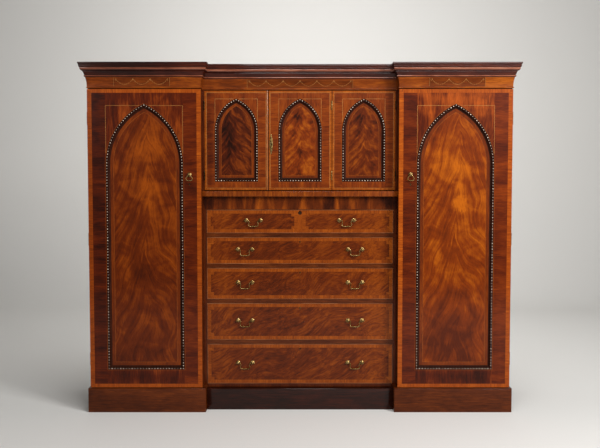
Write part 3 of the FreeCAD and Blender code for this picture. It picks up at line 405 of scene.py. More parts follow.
# Satinwood and tulipwood bands: warm orange with fine straight grain across the band
bandTone = {"tones": ("#6A2B06", "#8C3D09", "#AC5612"), "streak": 4, "clouds": 0.3}
# painted shade on the left wing's outer band and painted light on the right wing's inner band
bandAcross = polishedWood("satinwoodBandAcross", bandTone, "X",
                          spots=((-1241, 1000, 40, 3000, -0.12), (597, 1000, 40, 3000, 0.06)))
bandUpright = polishedWood("satinwoodBandUpright", bandTone, "Z")
upperBandTone = {"tones": ("#6C2E08", "#88400C", "#A85A16"), "streak": 4, "clouds": 0.3}
upperBandAcross = polishedWood("tulipwoodEdgeAcross", upperBandTone, "X")
upperBandUpright = polishedWood("tulipwoodEdgeUpright", upperBandTone, "Z")
drawerBandTone = {"tones": ("#5E2507", "#7E390A", "#A05012"), "streak": 4}
# painted light on the right-hand ends of the drawers' bands
drawerBandAcross = polishedWood("tulipwoodBandAcross", drawerBandTone, "X", spots=((548, 640, 40, 3000, 0.12),))
drawerBandUpright = polishedWood("tulipwoodBandUpright", drawerBandTone, "Z")
# Plain mahogany boards of the carcase, rails and plinths: brown, broad grain and little figure
carcaseTone = {"tones": ("#280D04", "#481A06", "#642B0B"), "streak": 7, "figure": 120}
carcaseUpright = polishedWood("mahoganyBoardUpright", carcaseTone, "Z")
carcaseAcross = polishedWood("mahoganyBoardAcross", carcaseTone, "X")
railTone = {"tones": ("#341405", "#50220A", "#6C3410"), "figure": 80, "clouds": 0.5}
railWood = polishedWood("mahoganyDrawerRail", railTone, "X")
plinthTone = {"tones": ("#301205", "#4E2007", "#6A300C"), "streak": 6, "figure": 90, "clouds": 0.45}
plinthWood = polishedWood("mahoganyPlinth", plinthTone, "X")
# the cock beads are lighter than the plinth's wood as a painted highlight on their rounds
cockBeadHighlightWood = polishedWood("paintedHighlightCockBead", plinthTone, "X", tones=("#5C2C16", "#7E482A", "#9C6440"))
# Stained mahogany mouldings: nearly black red with a stronger gloss, and a painted highlight on the rounds of the
# cornice
darkTone = {"tones": ("#120603", "#260D06", "#3E160A"), "streak": 6, "figure": 90, "gloss": 0.24, "coat": 0.8}
# painted shade over the left of the cornice and painted light over the right
corniceShadeAndLight = ((-1000, 2034, 460, 900, -0.2), (1000, 2034, 460, 900, 0.04))
darkUpright = polishedWood("darkMahoganyUpright", darkTone, "Z")
corniceWood = polishedWood("polishedMahoganyCornice", darkTone, "X", tones=("#200904", "#381208", "#52200E"),
                           coat=0.3, gloss=0.3, spots=corniceShadeAndLight)
# the cornice's rounds in a pale tone: a painted highlight
corniceHighlight = polishedWood("paintedHighlightMahoganyCornice", darkTone, "X", tones=("#5A2A18", "#7E4630", "#A06A50"),
                            coat=1, gloss=0.3, spots=corniceShadeAndLight)
# the middle plinth darkened as painted shade, where it sits back between the wings
centrePlinthShade = polishedWood("paintedShadeMahoganyPlinth", darkTone, "X", coat=0.4)
# near black for painted shade in the hollow cove round each panel and in the gaps between the upper doors
coveAndGapShade = polishedWood("paintedShadeCoveAndGap", darkTone, "Z", tones=("#160803", "#2A1006", "#3E1A09"), gloss=0.5, coat=0)
darkHole = polishedWood("keyholeShadow", darkTone, "Z", tones=("#050302", "#080403", "#0C0604"), gloss=0.8, coat=0)
# Frieze and ledge veneers: lighter golden brown
friezeTone = {"tones": ("#4A1D06", "#70310A", "#944C12"), "clouds": 0.5}
# painted shade on the left of the frieze and painted light on the right
friezeWood = polishedWood("mahoganyFriezeVeneer", friezeTone, "X",
                          spots=((-1150, 1960, 300, 900, -0.07), (-420, 1960, 160, 900, -0.1),
                                 (1180, 1960, 260, 900, 0.16), (680, 1960, 120, 900, 0.1)))
reserveWood = polishedWood("mahoganyFriezeReserve", friezeTone, "X", tones=("#421904", "#5E2808", "#7A3A0E"))
ledgeWood = polishedWood("mahoganyLedgeFacing", friezeTone, "Z", figure=30, draw=4)
# Figured veneers of the chest: streams of light and dark that lean across the drawers
fieldTone = {"tones": ("#341104", "#5C2306", "#823C0A"), "streak": 6, "figure": 28, "clouds": 0.55, "draw": 4,
             "bend": 260, "sway": 180}
fieldWood = polishedWood("figuredDrawerVeneer", fieldTone, "X", lean=-30,
                         spots=((-470, 640, 110, 3000, 0.06), (-150, 640, 200, 3000, -0.05),
                                (150, 640, 120, 3000, 0.03), (460, 640, 150, 3000, 0.1)))
# the rail's ends darkened as painted shade, in the corners beside the wings
flameRail = polishedWood("flameMahoganyRail", fieldTone, "Z", tones=("#300F03", "#5E2607", "#92460E"), figure=60,
                         draw=6, clouds=0.9, bend=90, sway=14,
                         spots=((-560, 1250, 130, 90, -0.2), (560, 1250, 130, 90, -0.2)))
# Bare pine, oak and beech: dull, dry and tan, each board a little different
bareTone = {"tones": ("#80603A", "#A28052", "#BA996A"), "clouds": 0.25, "draw": 10, "gloss": 0.6, "coat": 0,
            "boards": 0.16}
pine = polishedWood("agedPineBoards", bareTone, "Z")
oak = polishedWood("oakDrawerLinings", bareTone, "Y", shift=(3, 0, 0))
beech = polishedWood("waxedBeechRail", bareTone, "X", gloss=0.45)
# Boxwood and tulipwood stringing: pale close-grained lines
boxTone = {"tones": ("#86582A", "#A8743C", "#CA9A5C"), "streak": 3, "figure": 30, "clouds": 0.3}
boxwood = polishedWood("boxwoodLine", boxTone, "X")
lineTone = {"tones": ("#642E0E", "#844214", "#A05A22"), "streak": 3}
lineWood = polishedWood("tulipwoodLine", lineTone, "Z")
# the meeting bead in a lighter tone as a painted highlight along its round
meetingHighlightWood = polishedWood("paintedHighlightMeetingBead", lineTone, "Z", tones=("#6E3816", "#8E5028", "#AA6E42"), coat=0.5,
                           gloss=0.25)
# how far in front of the door's face the beads are dark and pale, the pale crowns being a painted highlight, and the
# size of the blotches that break it up
pearlLook = {"tones": ("#0A0403", "#54382A", "#F6DEC8"), "dark": 1.2, "pale": 4.6, "mottle": 30}
pearlWood = {front: paintedHighlightPearl("rubbedBead%d" % i, front, pearlLook)
             for i, front in enumerate((wingFront, centreFront))}
# the casting's real grain is about 0.3 mm, drawn coarser so that it shows
brassLook = {"tones": ("#403014", "#7C6238", "#B69C68"), "blotch": 12, "grain": 1.2}
brass = castBrass("wornBrass", brassLook)
# Brass darkened with painted shade for the hinges that sit in the shadow beside the wings: dull brown, hardly lighter
# than the wood
shadedHingeBrass = castBrass("paintedShadeHingeBrass", dict(brassLook, tones=("#20160A", "#3A2A16", "#5A4426")))
print("materials made")


# Doors: an arched opening of half width, foot, spring and rise, with bands, lines and beads round it

wingDoor = {"z": (148, 1923), "front": wingFront, "band": (26, 22), "half": 222, "rise": 350, "foot": 263,
            "spring": 1479, "pearl": 17, "line": 36, "spandrel": 228, "spandrelTop": 1827, "bandLine": False,
            "shadowGap": 0, "woods": (bandAcross, bandUpright, frameAcross, frameUpright)}
upperDoor = {"z": (1329, 1923), "front": centreFront, "band": (12, 12), "half": 123.5, "rise": 184, "foot": 1386,
             "spring": 1685, "pearl": 16, "line": 31, "spandrel": 128, "spandrelTop": 1875, "bandLine": True,
             "shadowGap": 0, "woods": (upperBandAcross, upperBandUpright, upperFrameAcross, upperFrameUpright)}
doorSpecs = {"left_wing_door": dict(wingDoor, x=(-1254, -584)),
             "right_wing_door": dict(wingDoor, x=(584, 1254)),
             "upper_left_door": dict(upperDoor, x=(-572.5, -192.167)),
             "upper_middle_door": dict(upperDoor, x=(-190.167, 190.167), shadowGap=3),
             "upper_right_door": dict(upperDoor, x=(192.167, 572.5), shadowGap=2)}
# the stem of each crotch veneer, the size of its feathers and clouds, and its lighter and darker places, painted light
# and shade among them
wingCrotch = {"wander": 340, "drift": 120, "wavy": 1.6, "bow": 0.9, "fall": 2.2, "comb": 0.5, "barb": 70,
              "fine": 4, "crisp": 0.5, "curl": 1.1, "cloud": 110, "clouds": 0.5}
upperCrotch = {"wander": 110, "drift": 40, "bow": 0.72, "fall": 0.6, "comb": 0.4, "barb": 34, "cloud": 50,
               "clouds": 0.4}
panelLooks = {
    # tones darker than the right wing's, and the sheet lighter high up and darker at the foot: painted light and shade
    "left_wing_door": dict(wingCrotch, x=-915, z=900, tones=("#3A1102", "#5A2003", "#883D07"),
                           spots=((-880, 1300, 150, 210, 0.13), (-935, 800, 140, 170, -0.1),
                                  (-905, 1560, 190, 200, 0.18), (-919, 330, 330, 260, -0.08))),
    # the small bright spot is a painted reflection of a lamp; lighter high up and darker at the foot is painted light
    # and shade
    "right_wing_door": dict(wingCrotch, x=930, z=1000, tones=("#4A1802", "#702B03", "#A4520A"),
                            spots=((946, 1245, 62, 70, 0.34), (940, 1470, 210, 290, 0.1),
                                   (850, 1070, 110, 70, -0.05), (930, 420, 340, 420, -0.2))),
    # the darker left half and the darker tones are painted shade beside the left wing
    "upper_left_door": dict(upperCrotch, x=-425, z=1600, wander=120, drift=26, comb=0.35, barb=30, cloud=60,
                            clouds=0.2, tones=("#1A0702", "#471805", "#843B0B"),
                            spots=((-430, 1650, 66, 230, -0.2), (-325, 1540, 45, 170, 0.08))),
    "upper_middle_door": dict(upperCrotch, x=0, z=1560, tones=("#2A0C03", "#6E2A06", "#A65611"),
                              spots=((-14, 1760, 46, 90, -0.16), (-4, 1560, 34, 60, -0.14), (0, 1440, 28, 50, -0.14),
                                     (60, 1480, 40, 60, 0.08))),
    "upper_right_door": dict(upperCrotch, x=385, z=1560, wander=115, clouds=0.35,
                             tones=("#240A03", "#5A2106", "#90460D"),
                             spots=((360, 1740, 48, 110, -0.14), (420, 1700, 30, 90, -0.08),
                                    (430, 1460, 48, 60, -0.14), (340, 1470, 40, 70, 0.06))),
}
# radius, sink and flat back of a pearl, facets of the arch and cove, and how far lines stand out of the veneer
beadLook = {"half": 6.5, "pearlRadius": 5.2, "pearlSink": 0.3, "pearlBack": 1.2, "pearlSides": 10, "pearlRings": 6,
            "pearlSmooth": 50, "archSteps": 24, "coveSteps": 5, "panelDepth": 9.4, "seat": 0.5, "lineOut": 9,
            "line": 1.3, "lineProud": 0.12, "lineSink": 0.1, "stringing": 1.4, "stringProud": 0.15, "panelLine": 1.7,
            # offset from the bead's middle and depth behind the door's face, from the frame inwards
            "section": [(6.45, -0.6), (6.2, 0.7), (-6.2, 0.7), (-6.6, 2.8)], "cove": (7, 10.5, 2.8, 6.6)}
meetingLook = {"door": "upper_left_door", "x": -197.167, "width": 10, "proud": 4, "sides": 24}


def archCurve(spec, grown):
    # Radius of the arch's two arcs, and how far their centres are past the middle
    radius = (spec["rise"] ** 2 + spec["half"] ** 2) / (2 * spec["half"]) + grown
    return radius, radius - spec["half"] - grown


def archPoints(spec, grown):
    # The pointed outline from the left foot corner, anticlockwise from the front
    half, middle, steps = spec["half"] + grown, sum(spec["x"]) / 2, beadLook["archSteps"]
    radius, reach = archCurve(spec, grown)
    turn = math.acos(reach / radius)
    points = [(middle - half, spec["foot"] - grown), (middle + half, spec["foot"] - grown)]
    for hand, order in ((1, range(steps + 1)), (-1, range(steps - 1, -1, -1))):
        for i in order:
            angle = turn * i / steps
            points.append((middle + hand * (radius * math.cos(angle) - reach),
                           spec["spring"] + radius * math.sin(angle)))
    return points


def archRing(spec, grown, depth):
    return [(x, spec["front"] + depth, z) for x, z in archPoints(spec, grown)]


def leg(longest, other):
    # The third side of a right-angled triangle
    return math.sqrt(max(0, longest ** 2 - other ** 2))


def pearlPlaces(points, pitch):
    # Even places along the foot and the two sides of an arch, with one at each corner
    peak = beadLook["archSteps"] + 2
    places = []
    for stretch in (points[:2], points[1:peak + 1], points[peak:] + points[:1]):
        corners = [Vector(point) for point in stretch]
        lengths = [(b - a).length for a, b in zip(corners, corners[1:])]
        number = max(1, round(sum(lengths) / pitch))
        step = sum(lengths) / number
        i, walked = 0, 0
        for n in range(number):
            while walked + lengths[i] < n * step:
                walked += lengths[i]
                i += 1
            places.append(corners[i].lerp(corners[i + 1], (n * step - walked) / lengths[i]))
    return places


def pearls(spec):
    # One turned bead, flat behind, copied along the arch
    y = spec["front"] + beadLook["pearlSink"]
    places = [Vector((place.x, y, place.y)) * mm for place in pearlPlaces(archPoints(spec, 0), spec["pearl"])]
    piece = started(bpy.ops.mesh.primitive_uv_sphere_add, segments=beadLook["pearlSides"],
                    ring_count=beadLook["pearlRings"], radius=beadLook["pearlRadius"] * mm,
                    rotation=(math.pi / 2, 0, 0))
    edit()
    bpy.ops.mesh.bisect(plane_co=(0, beadLook["pearlBack"] * mm, 0), plane_no=(0, 1, 0), clear_outer=True,
                        use_fill=True)
    bpy.ops.mesh.select_all(action="SELECT")
    bpy.ops.transform.translate(value=places[0])
    for here, there in zip(places, places[1:]):
        bpy.ops.mesh.duplicate_move(TRANSFORM_OT_translate={"value": there - here})
    leaveEdit(outward=False)
    return smoothed(dressed(piece, pearlWood[spec["front"]]), beadLook["pearlSmooth"])


def ringed(rings, closed):
    # Rings of corners in millimetres, each drawn out of the one before it
    piece = outlined(rings[0], "NOTHING")
    for ring in rings[1:]:
        bpy.ops.object.mode_set(mode="EDIT")
        bpy.ops.mesh.extrude_edges_move()
        bpy.ops.object.mode_set(mode="OBJECT")
        for vertex, corner in zip(piece.data.vertices[-len(ring):], ring):
            vertex.co = Vector(corner) * mm
    bpy.ops.object.mode_set(mode="EDIT")
    if closed:
        bpy.ops.mesh.select_all(action="SELECT")
        bpy.ops.mesh.remove_doubles(threshold=weld)
    else:
        bpy.ops.mesh.select_mode(type="EDGE")
        bpy.ops.mesh.select_all(action="DESELECT")
        bpy.ops.mesh.select_non_manifold(extend=False, use_wire=True, use_boundary=True)
        bpy.ops.mesh.fill_holes(sides=0)
    bpy.ops.mesh.select_mode(type="VERT")
    leaveEdit()
    return piece


def archedPanel(spec, flame):
    # The moulding's seat, quirk and cove run down to the panel, with the panel's line and field inside it
    start, width, top, fall = beadLook["cove"]
    deep, line, steps = beadLook["panelDepth"], spec["line"], beadLook["coveSteps"]
    section = [(beadLook["section"][0][0], deep + beadLook["seat"])] + beadLook["section"]
    for i in range(steps + 1):
        turn = math.pi / 2 * i / steps
        section.append((-start - width * (1 - math.cos(turn)), top + fall * math.sin(turn)))
    section += [(-line, deep), (-line - beadLook["panelLine"], deep)]
    rings = [archRing(spec, grown, depth) for grown, depth in section]
    # the seat, quirk and cove get the near black painted shade
    piece = dressed(ringed(rings, False), coveAndGapShade, borderWood, lineWood, flame)  # slots 0 to 3 below
    count, last = len(rings[0]), len(rings) - 1
    for face in piece.data.polygons:
        first = min(vertex // count for vertex in face.vertices)
        if len(face.vertices) == count:
            face.material_index = 3 if first == last else 0
        else:
            face.material_index = {last - 2: 1, last - 1: 2}.get(first, 0)
    return smoothed(piece)


def archLine(spec):
    # A thin inlaid line that follows the arch outside its bead
    near, far = beadLook["lineOut"], beadLook["lineOut"] + beadLook["line"]
    face, sunk = -sheetThickness - beadLook["lineProud"], -beadLook["lineSink"]
    section = [(near, sunk), (near, face), (far, face), (far, sunk), (near, sunk)]
    return dressed(ringed([archRing(spec, out, depth) for out, depth in section], True), lineWood)


def doorVeneers(spec):
    (x0, x1), (z0, z1), (side, end) = spec["x"], spec["z"], spec["band"]
    front, middle, reach = spec["front"], (x0 + x1) / 2, spec["half"] + beadLook["half"]
    left, right, foot = middle - reach, middle + reach, spec["foot"] - beadLook["half"]
    a0, a1, b0, b1 = x0 + side, x1 - side, z0 + end, z1 - end
    across, upright, stile, rail = spec["woods"]
    head = [(left, spec["spring"]), (left, b1), (right, b1)] + archPoints(spec, beadLook["half"])[2:]
    flats = [([(x0, z0), (a0, b0), (a0, b1), (x0, z1)], across), ([(x1, z0), (x1, z1), (a1, b1), (a1, b0)], across),
             ([(x0, z0), (x1, z0), (a1, b0), (a0, b0)], upright), ([(x0, z1), (a0, b1), (a1, b1), (x1, z1)], upright),
             (rectangle(a0, left, b0, b1), stile), (rectangle(right, a1, b0, b1), stile),
             (rectangle(left, right, b0, foot), rail), (head, rail)]
    sheets = [veneer(points, front, sheetThickness, wood) for points, wood in flats]
    proud, line, top = sheetThickness + beadLook["stringProud"], beadLook["stringing"], spec["spandrelTop"]
    radius, past = archCurve(spec, beadLook["lineOut"] + beadLook["line"])
    gap = max(0, leg(radius, top - line - spec["spring"]) - past)
    low = spec["spring"] + leg(radius, spec["spandrel"] - line + past)
    lines = []
    for hand in (-1, 1):
        outer, inner = middle + hand * spec["spandrel"], middle + hand * gap
        edge = outer - hand * line
        lines += [rectangle(min(outer, inner), max(outer, inner), top - line, top),
                  rectangle(min(outer, edge), max(outer, edge), low, top - line)]
    if spec["bandLine"]:
        lines += [rectangle(edge - line / 2, edge + line / 2, b0, b1) for edge in (a0, a1)]
        lines += [rectangle(a0, a1, edge - line / 2, edge + line / 2) for edge in (b0, b1)]
    sheets += [veneer(points, front, proud, boxwood) for points in lines] + [archLine(spec)]
    # a dark strip along the door's left edge is a painted shadow in the gap beside the next door
    if spec["shadowGap"]:
        sheets.append(veneer(rectangle(x0, x0 + spec["shadowGap"], z0, z1), front, proud, coveAndGapShade))
    return sheets


def meetingBead(spec):
    # The rounded strip that covers the joint between two doors
    (z0, z1), x, front, half = spec["z"], meetingLook["x"] * mm, spec["front"] * mm, meetingLook["width"] / 2
    piece = started(bpy.ops.mesh.primitive_cylinder_add, vertices=meetingLook["sides"], radius=half * mm,
                    depth=(z1 - z0) * mm, location=(x, front, (z0 + z1) / 2 * mm))
    edit()
    bpy.ops.transform.resize(value=(1, meetingLook["proud"] / half, 1), center_override=(x, front, 0))
    bpy.ops.mesh.bisect(plane_co=(0, front, 0), plane_no=(0, 1, 0), clear_outer=True, use_fill=True)
    leaveEdit(outward=False)
    return smoothed(dressed(piece, meetingHighlightWood))


for name, spec in doorSpecs.items():
    flame = crotchVeneer(name.replace("_door", "") + "_crotchMahogany", panelLooks[name])
    finishPiece(joined(name + "_veneers", doorVeneers(spec)), name, "mahogany")
    panel = [archedPanel(spec, flame), pearls(spec)]
    if name == meetingLook["door"]:
        panel.append(meetingBead(spec))
    finishPiece(joined(name + "_beaded_panel", panel), name, "figured_mahogany", [name + "_beading"])
print("doors dressed")


# Cornice and frieze

outerX, innerX, backY = 1254, 584, 311.5
breakPlan = [Vector(corner + (0,)) for corner in (
    (-outerX, backY), (-outerX, wingFront), (-innerX, wingFront), (-innerX, centreFront),
    (innerX, centreFront), (innerX, wingFront), (outerX, wingFront), (outerX, backY))]
friezeRailCorners = (-1214, 293.5, 1928), (1214, 311.5, 1993)  # the plain rail at the back
# heights of the rounds with a painted highlight, how far a length runs past its mitres, facets in a curve, and shading
corniceLook = {"paintedHighlight": ((1997, 2002), (2033.5, 2044)), "overrun": 90, "curveSteps": 8, "smooth": 32}


def bowed(*places):
    # Points on the circle through three places, without the first
    start, middle, end = [complex(*place) for place in places]
    share = (end - start) / (middle - start)
    centre = start - (start - middle) * (share - abs(share) ** 2) / 2j / share.imag
    turnMiddle, turn = [cmath.phase((place - centre) / (start - centre)) % (2 * math.pi) for place in (middle, end)]
    if turnMiddle > turn:  # the curve runs the other way round
        turn -= 2 * math.pi
    steps = corniceLook["curveSteps"]
    curve = [centre + (start - centre) * cmath.rect(1, turn * i / steps) for i in range(1, steps + 1)]
    return [(point.real, point.imag) for point in curve]


# sections as reach in front of the plan and height
friezeHollow = [(0, 1935)] + bowed((0, 1935), (1.6, 1964), (8, 1993))
friezePoints = [(-40, 1928), (0, 1928)] + bowed((0, 1928), (3, 1931.5), (0, 1935)) + friezeHollow[1:] + [(-40, 1993)]
cornicePoints = ([(-16, 1993), (8, 1993)] + bowed((8, 1993), (14, 1998), (11, 2003))
                 + [(18, 2023), (20, 2023), (20, 2027)] + bowed((20, 2027), (30.4, 2032.6), (33, 2041))
                 + [(33, 2045)] + bowed((33, 2045), (37.333, 2050.5), (38, 2056))
                 + bowed((38, 2056), (38.667, 2061.5), (43, 2067)) + [(43, 2075), (-16, 2075)])


def mouldingRuns(points, material):
    # A length along each side of the plan, longer than it needs to be and then cut to its mitres
    along = [(b - a).normalized() for a, b in zip(breakPlan, breakPlan[1:])]
    runs = []
    for i, direction in enumerate(along):
        outward = Vector((direction.y, -direction.x, 0))
        begin, end, overrun = breakPlan[i], breakPlan[i + 1], direction * corniceLook["overrun"]
        corners = [begin - overrun + outward * out + Vector((0, 0, up)) for out, up in points]
        cuts = [(begin, direction + along[i - 1] if i else direction),
                (end, -(direction + along[i + 1]) if i + 1 < len(along) else -direction)]
        runs.append(drawnOut(corners, end - begin + 2 * overrun, material, cuts))
    return runs


cornice = smoothed(joined("cornice_mouldings", mouldingRuns(cornicePoints, corniceWood)), corniceLook["smooth"])
dressed(cornice, corniceHighlight)
# the rounds take the painted highlight
for face in cornice.data.polygons:
    if any(low * mm < face.center.z < high * mm for low, high in corniceLook["paintedHighlight"]):
        face.material_index = 1
finishPiece(cornice, "carcase", "mahogany", ["cornice"])
friezeRuns = mouldingRuns(friezePoints, friezeWood) + [block(*friezeRailCorners, pine)]
friezePiece = smoothed(joined("frieze_mouldings", friezeRuns), corniceLook["smooth"])
finishPiece(friezePiece, "carcase", "mahogany", ["frieze"])

# heights of the reserves and swags, radii of the inlaid lines, and left, right, face and number of swags
inlayLook = {"foot": 1938, "head": 1990, "top": 1981, "low": 1950, "rod": 0.55, "edge": 0.6, "husk": 1.9,
             "inset": 12, "levels": 8, "skin": 0.25, "sunk": 0.6, "proud": 0.3, "endGap": 1, "smooth": 30,
             "fineness": (1, 4, 60), "swagSteps": 8,
             # lines at each end of a swag, from its top: a drop and a bow
             "ties": (((0, 3), (0, -12)), ((-5, -4), (0, 1), (5, -4))),
             "places": ((-1095, -766, wingFront, 3), (-316, 316, centreFront, 6), (762, 1089, wingFront, 3))}
chestRail = (-583.3, 583.3, 1213, 1289.6)  # left, right, foot and head of the rail's veneer


def friezeReach(z):
    # How far the hollow of the frieze stands out at a height
    for (a, low), (b, high) in zip(friezeHollow, friezeHollow[1:]):
        if low <= z <= high:
            return a + (b - a) * (z - low) / (high - low)
    return 0


def reserve(x0, x1, front):
    # The plain panel of veneer that carries the inlay, bent to the hollow
    foot, head, count = inlayLook["foot"], inlayLook["head"], inlayLook["levels"]
    levels = [foot + (head - foot) * i / count for i in range(count + 1)]
    section = [(x0, front - friezeReach(z) - inlayLook["skin"], z) for z in levels]
    section += [(x0, front - friezeReach(z) + inlayLook["sunk"], z) for z in reversed(levels)]
    return smoothed(drawnOut(section, (x1 - x0, 0, 0), reserveWood), inlayLook["smooth"])


def inlayLine(points, front, radius):
    places = [(x, front - friezeReach(z) - inlayLook["proud"], z) for x, z in points]
    return bentRod(places, [radius] * len(places), inlayLook["fineness"], boxwood)


def husk(x, z, front):
    # One small pointed flower of the chain
    piece = started(bpy.ops.mesh.primitive_ico_sphere_add, subdivisions=1, radius=inlayLook["husk"] * mm,
                    location=Vector((x, front - friezeReach(z), z)) * mm)
    return dressed(piece, boxwood)


inlays = []
for x0, x1, front, count in inlayLook["places"]:
    top, low, radius, gap = inlayLook["top"], inlayLook["low"], inlayLook["rod"], inlayLook["endGap"]
    pitch = (x1 - x0 - 2 * inlayLook["inset"]) / count
    inlays.append(reserve(x0, x1, front))
    for edge in (x0, x1):
        upright = [(edge, inlayLook["foot"] + gap), (edge, inlayLook["head"] - gap)]
        inlays.append(inlayLine(upright, front, inlayLook["edge"]))
    for i in range(count + 1):
        x = x0 + inlayLook["inset"] + pitch * i
        for tie in inlayLook["ties"]:
            inlays.append(inlayLine([(x + across, top + up) for across, up in tie], front, radius))
        if i < count:
            shares = [j / inlayLook["swagSteps"] for j in range(inlayLook["swagSteps"] + 1)]
            swag = [(x + pitch * share, top - (top - low) * (1 - (2 * share - 1) ** 2)) for share in shares]
            inlays.append(inlayLine(swag, front, radius))
            inlays += [husk(along, height, front) for along, height in swag[1:-1]]
finishPiece(joined("frieze_inlay", inlays), "carcase", "mahogany")
railSheet = veneer(rectangle(*chestRail), centreFront, sheetThickness, flameRail)
finishPiece(joined("chest_rail_veneer", [railSheet]), "carcase", "mahogany")
print("cornice and frieze made")


# Drawers

drawerFronts = {1: (1068, 1212), 2: (882, 1046), 3: (667, 860), 4: (418, 645), 5: (150, 396)}
drawerLook = {"half": 562.5, "gap": 1.5, "bead": 3.5, "band": 20, "notch": 18, "line": 1, "between": 28}


def notched(x0, x1, z0, z1, n):
    return [(x0 + n, z0), (x1 - n, z0), (x1 - n, z0 + n), (x1, z0 + n), (x1, z1 - n), (x1 - n, z1 - n),
            (x1 - n, z1), (x0 + n, z1), (x0 + n, z1 - n), (x0, z1 - n), (x0, z0 + n), (x0 + n, z0 + n)]


def bandedField(x0, x1, z0, z1):
    # A mitred band round a field that has stepped corners and a dark line
    band, n = drawerLook["band"], drawerLook["notch"]
    a0, a1, b0, b1 = x0 + band, x1 - band, z0 + band, z1 - band
    c0, c1, d0, d1 = a0 + n, a1 - n, b0 + n, b1 - n
    flats = [([(x0, z1), (x0, z0), (c0, d0), (a0, d0), (a0, d1), (c0, d1)], drawerBandAcross),
             ([(x1, z0), (x1, z1), (c1, d1), (a1, d1), (a1, d0), (c1, d0)], drawerBandAcross),
             ([(x0, z0), (x1, z0), (c1, d0), (c1, b0), (c0, b0), (c0, d0)], drawerBandUpright),
             ([(x1, z1), (x0, z1), (c0, d1), (c0, b1), (c1, b1), (c1, d1)], drawerBandUpright)]
    sheets = [veneer(points, centreFront, sheetThickness, wood) for points, wood in flats]
    field = outlined([(x, centreFront - sheetThickness, z) for x, z in notched(a0, a1, b0, b1, n)])
    dressed(field, railWood, fieldWood)
    edit()
    bpy.ops.mesh.inset(thickness=drawerLook["line"] * mm, depth=0)
    field.active_material_index = 1
    bpy.ops.object.material_slot_assign()
    leaveEdit(outward=False)
    return sheets + [field]


for number, (bottom, top) in drawerFronts.items():
    half, middle = drawerLook["half"] - drawerLook["bead"], drawerLook["between"] / 2
    trim = drawerLook["gap"] + drawerLook["bead"]
    z0, z1 = bottom + trim, top - trim
    if number == 1:
        sheets = bandedField(-half, -middle, z0, z1) + bandedField(middle, half, z0, z1)
        sheets.append(veneer(rectangle(-middle, middle, z0, z1), centreFront, sheetThickness, drawerBandUpright))
    else:
        sheets = bandedField(-half, half, z0, z1)
    finishPiece(joined("drawer_%d_veneers" % number, sheets), "drawer_%d" % number, "mahogany")
print("drawers veneered")


# Brasses: profiles are radius and reach in front of the face

handleLook = {"span": 86, "reach": 13, "rise": 7, "places": {1: 281, 2: 333, 3: 333, 4: 333, 5: 333},
              "seat": 0.2, "steps": 22, "fineness": (3, 6, 50),
              # the pointed end of a pivot: place past the post, length, thick and thin radius, sides and easing
              "knob": (10, 12, 5.2, 1.4, 16, (1,)),
              "post": [(0, 0), (13, 0), (13, 1.2), (12.2, 2.2), (10.6, 2.6), (9.6, 3.6), (7, 4.6), (4.6, 5.6), (3.9, 7),
                       (4.2, 8), (5.6, 8.8), (6.4, 10.4), (6.6, 13), (6.2, 15.4), (4.8, 17.6), (2.4, 19), (0, 19.6)],
              # half of the bail from its pivot to its middle: x, z and radius
              "bail": [(43, 0, 2.1), (36.4, 0, 2.1), (29.5, -1.6, 2.3), (26.2, -8, 2.3), (27.2, -18, 2.4),
                       (28.4, -26, 2.6), (26, -33, 2.9), (18, -36.4, 3.1), (8, -36.9, 3.3), (0, -37, 3.2)]}
# lock case behind the drawer front, and the turned disc round the top drawer's keyhole
lockLook = {"half": 35, "y": (-168.5, -159.5), "below": 30, "above": 14, "fromTop": 28, "topDrawer": 20,
            "ease": 1, "steps": 28, "discFace": 0.8,
            "disc": [(0, 0), (11.5, 0), (11.5, 0.6), (10.8, 1.1), (7, 0.8), (0, 0.8)]}
pullLook = {"x": 654, "z": 1421, "reach": 13, "keyhole": 1365, "pin": (8, 2, 1.6), "seat": 0.4, "steps": 24,
            "post": [(0, 0), (13.2, 0), (13.2, 1.2), (12.4, 2.4), (10.5, 3.2), (8.4, 4.2), (6.5, 5.6), (6.2, 7),
                     (6.5, 8.5), (6.9, 9.9), (7, 13), (6.9, 16), (5.6, 18.2), (3, 19.3), (0, 19.6)],
            "ring": [(5, 0, 1.7), (8, -6, 1.8), (13, -14, 1.9), (18, -22, 2.1), (17.4, -30, 2.3), (12.5, -34.4, 2.7),
                     (6, -35.3, 3), (0, -35.4, 3)]}
# radius of the round head, half width and foot of the slot, width of the brass rim, and how far each stands out
keyholeLook = {"head": 3.2, "half": 1.5, "drop": 9, "rim": 0.8, "rimProud": 0.35, "holeProud": 0.45, "steps": 16}


def turnedPiece(profile, x, y, z, steps, material):
    # A profile spun round an axis that runs front to back
    piece = outlined([(x + radius, y - reach, z) for radius, reach in profile], "NOTHING")
    edit()
    bpy.ops.mesh.spin(steps=steps, angle=2 * math.pi, center=Vector((x, y, z)) * mm, axis=(0, 1, 0))
    bpy.ops.mesh.select_all(action="SELECT")
    bpy.ops.mesh.remove_doubles(threshold=weld)
    bpy.ops.mesh.dissolve_degenerate()
    leaveEdit()
    return smoothed(dressed(piece, material))


def keyholePoints(x, z, grown):
    # Round head over a straight slot, anticlockwise from the front
    head, half, drop = [keyholeLook[part] + grown for part in ("head", "half", "drop")]
    turn = math.acos(half / head)
    points = [(x - half, z - drop), (x + half, z - drop)]
    for i in range(keyholeLook["steps"] + 1):
        angle = -turn + (math.pi + 2 * turn) * i / keyholeLook["steps"]
        points.append((x + head * math.cos(angle), z + head * math.sin(angle)))
    return points


def keyhole(x, z, face):
    rim = keyholePoints(x, z, keyholeLook["rim"])
    return [veneer(rim, face, sheetThickness + keyholeLook["rimProud"], brass),
            veneer(keyholePoints(x, z, 0), face, sheetThickness + keyholeLook["holeProud"], darkHole)]


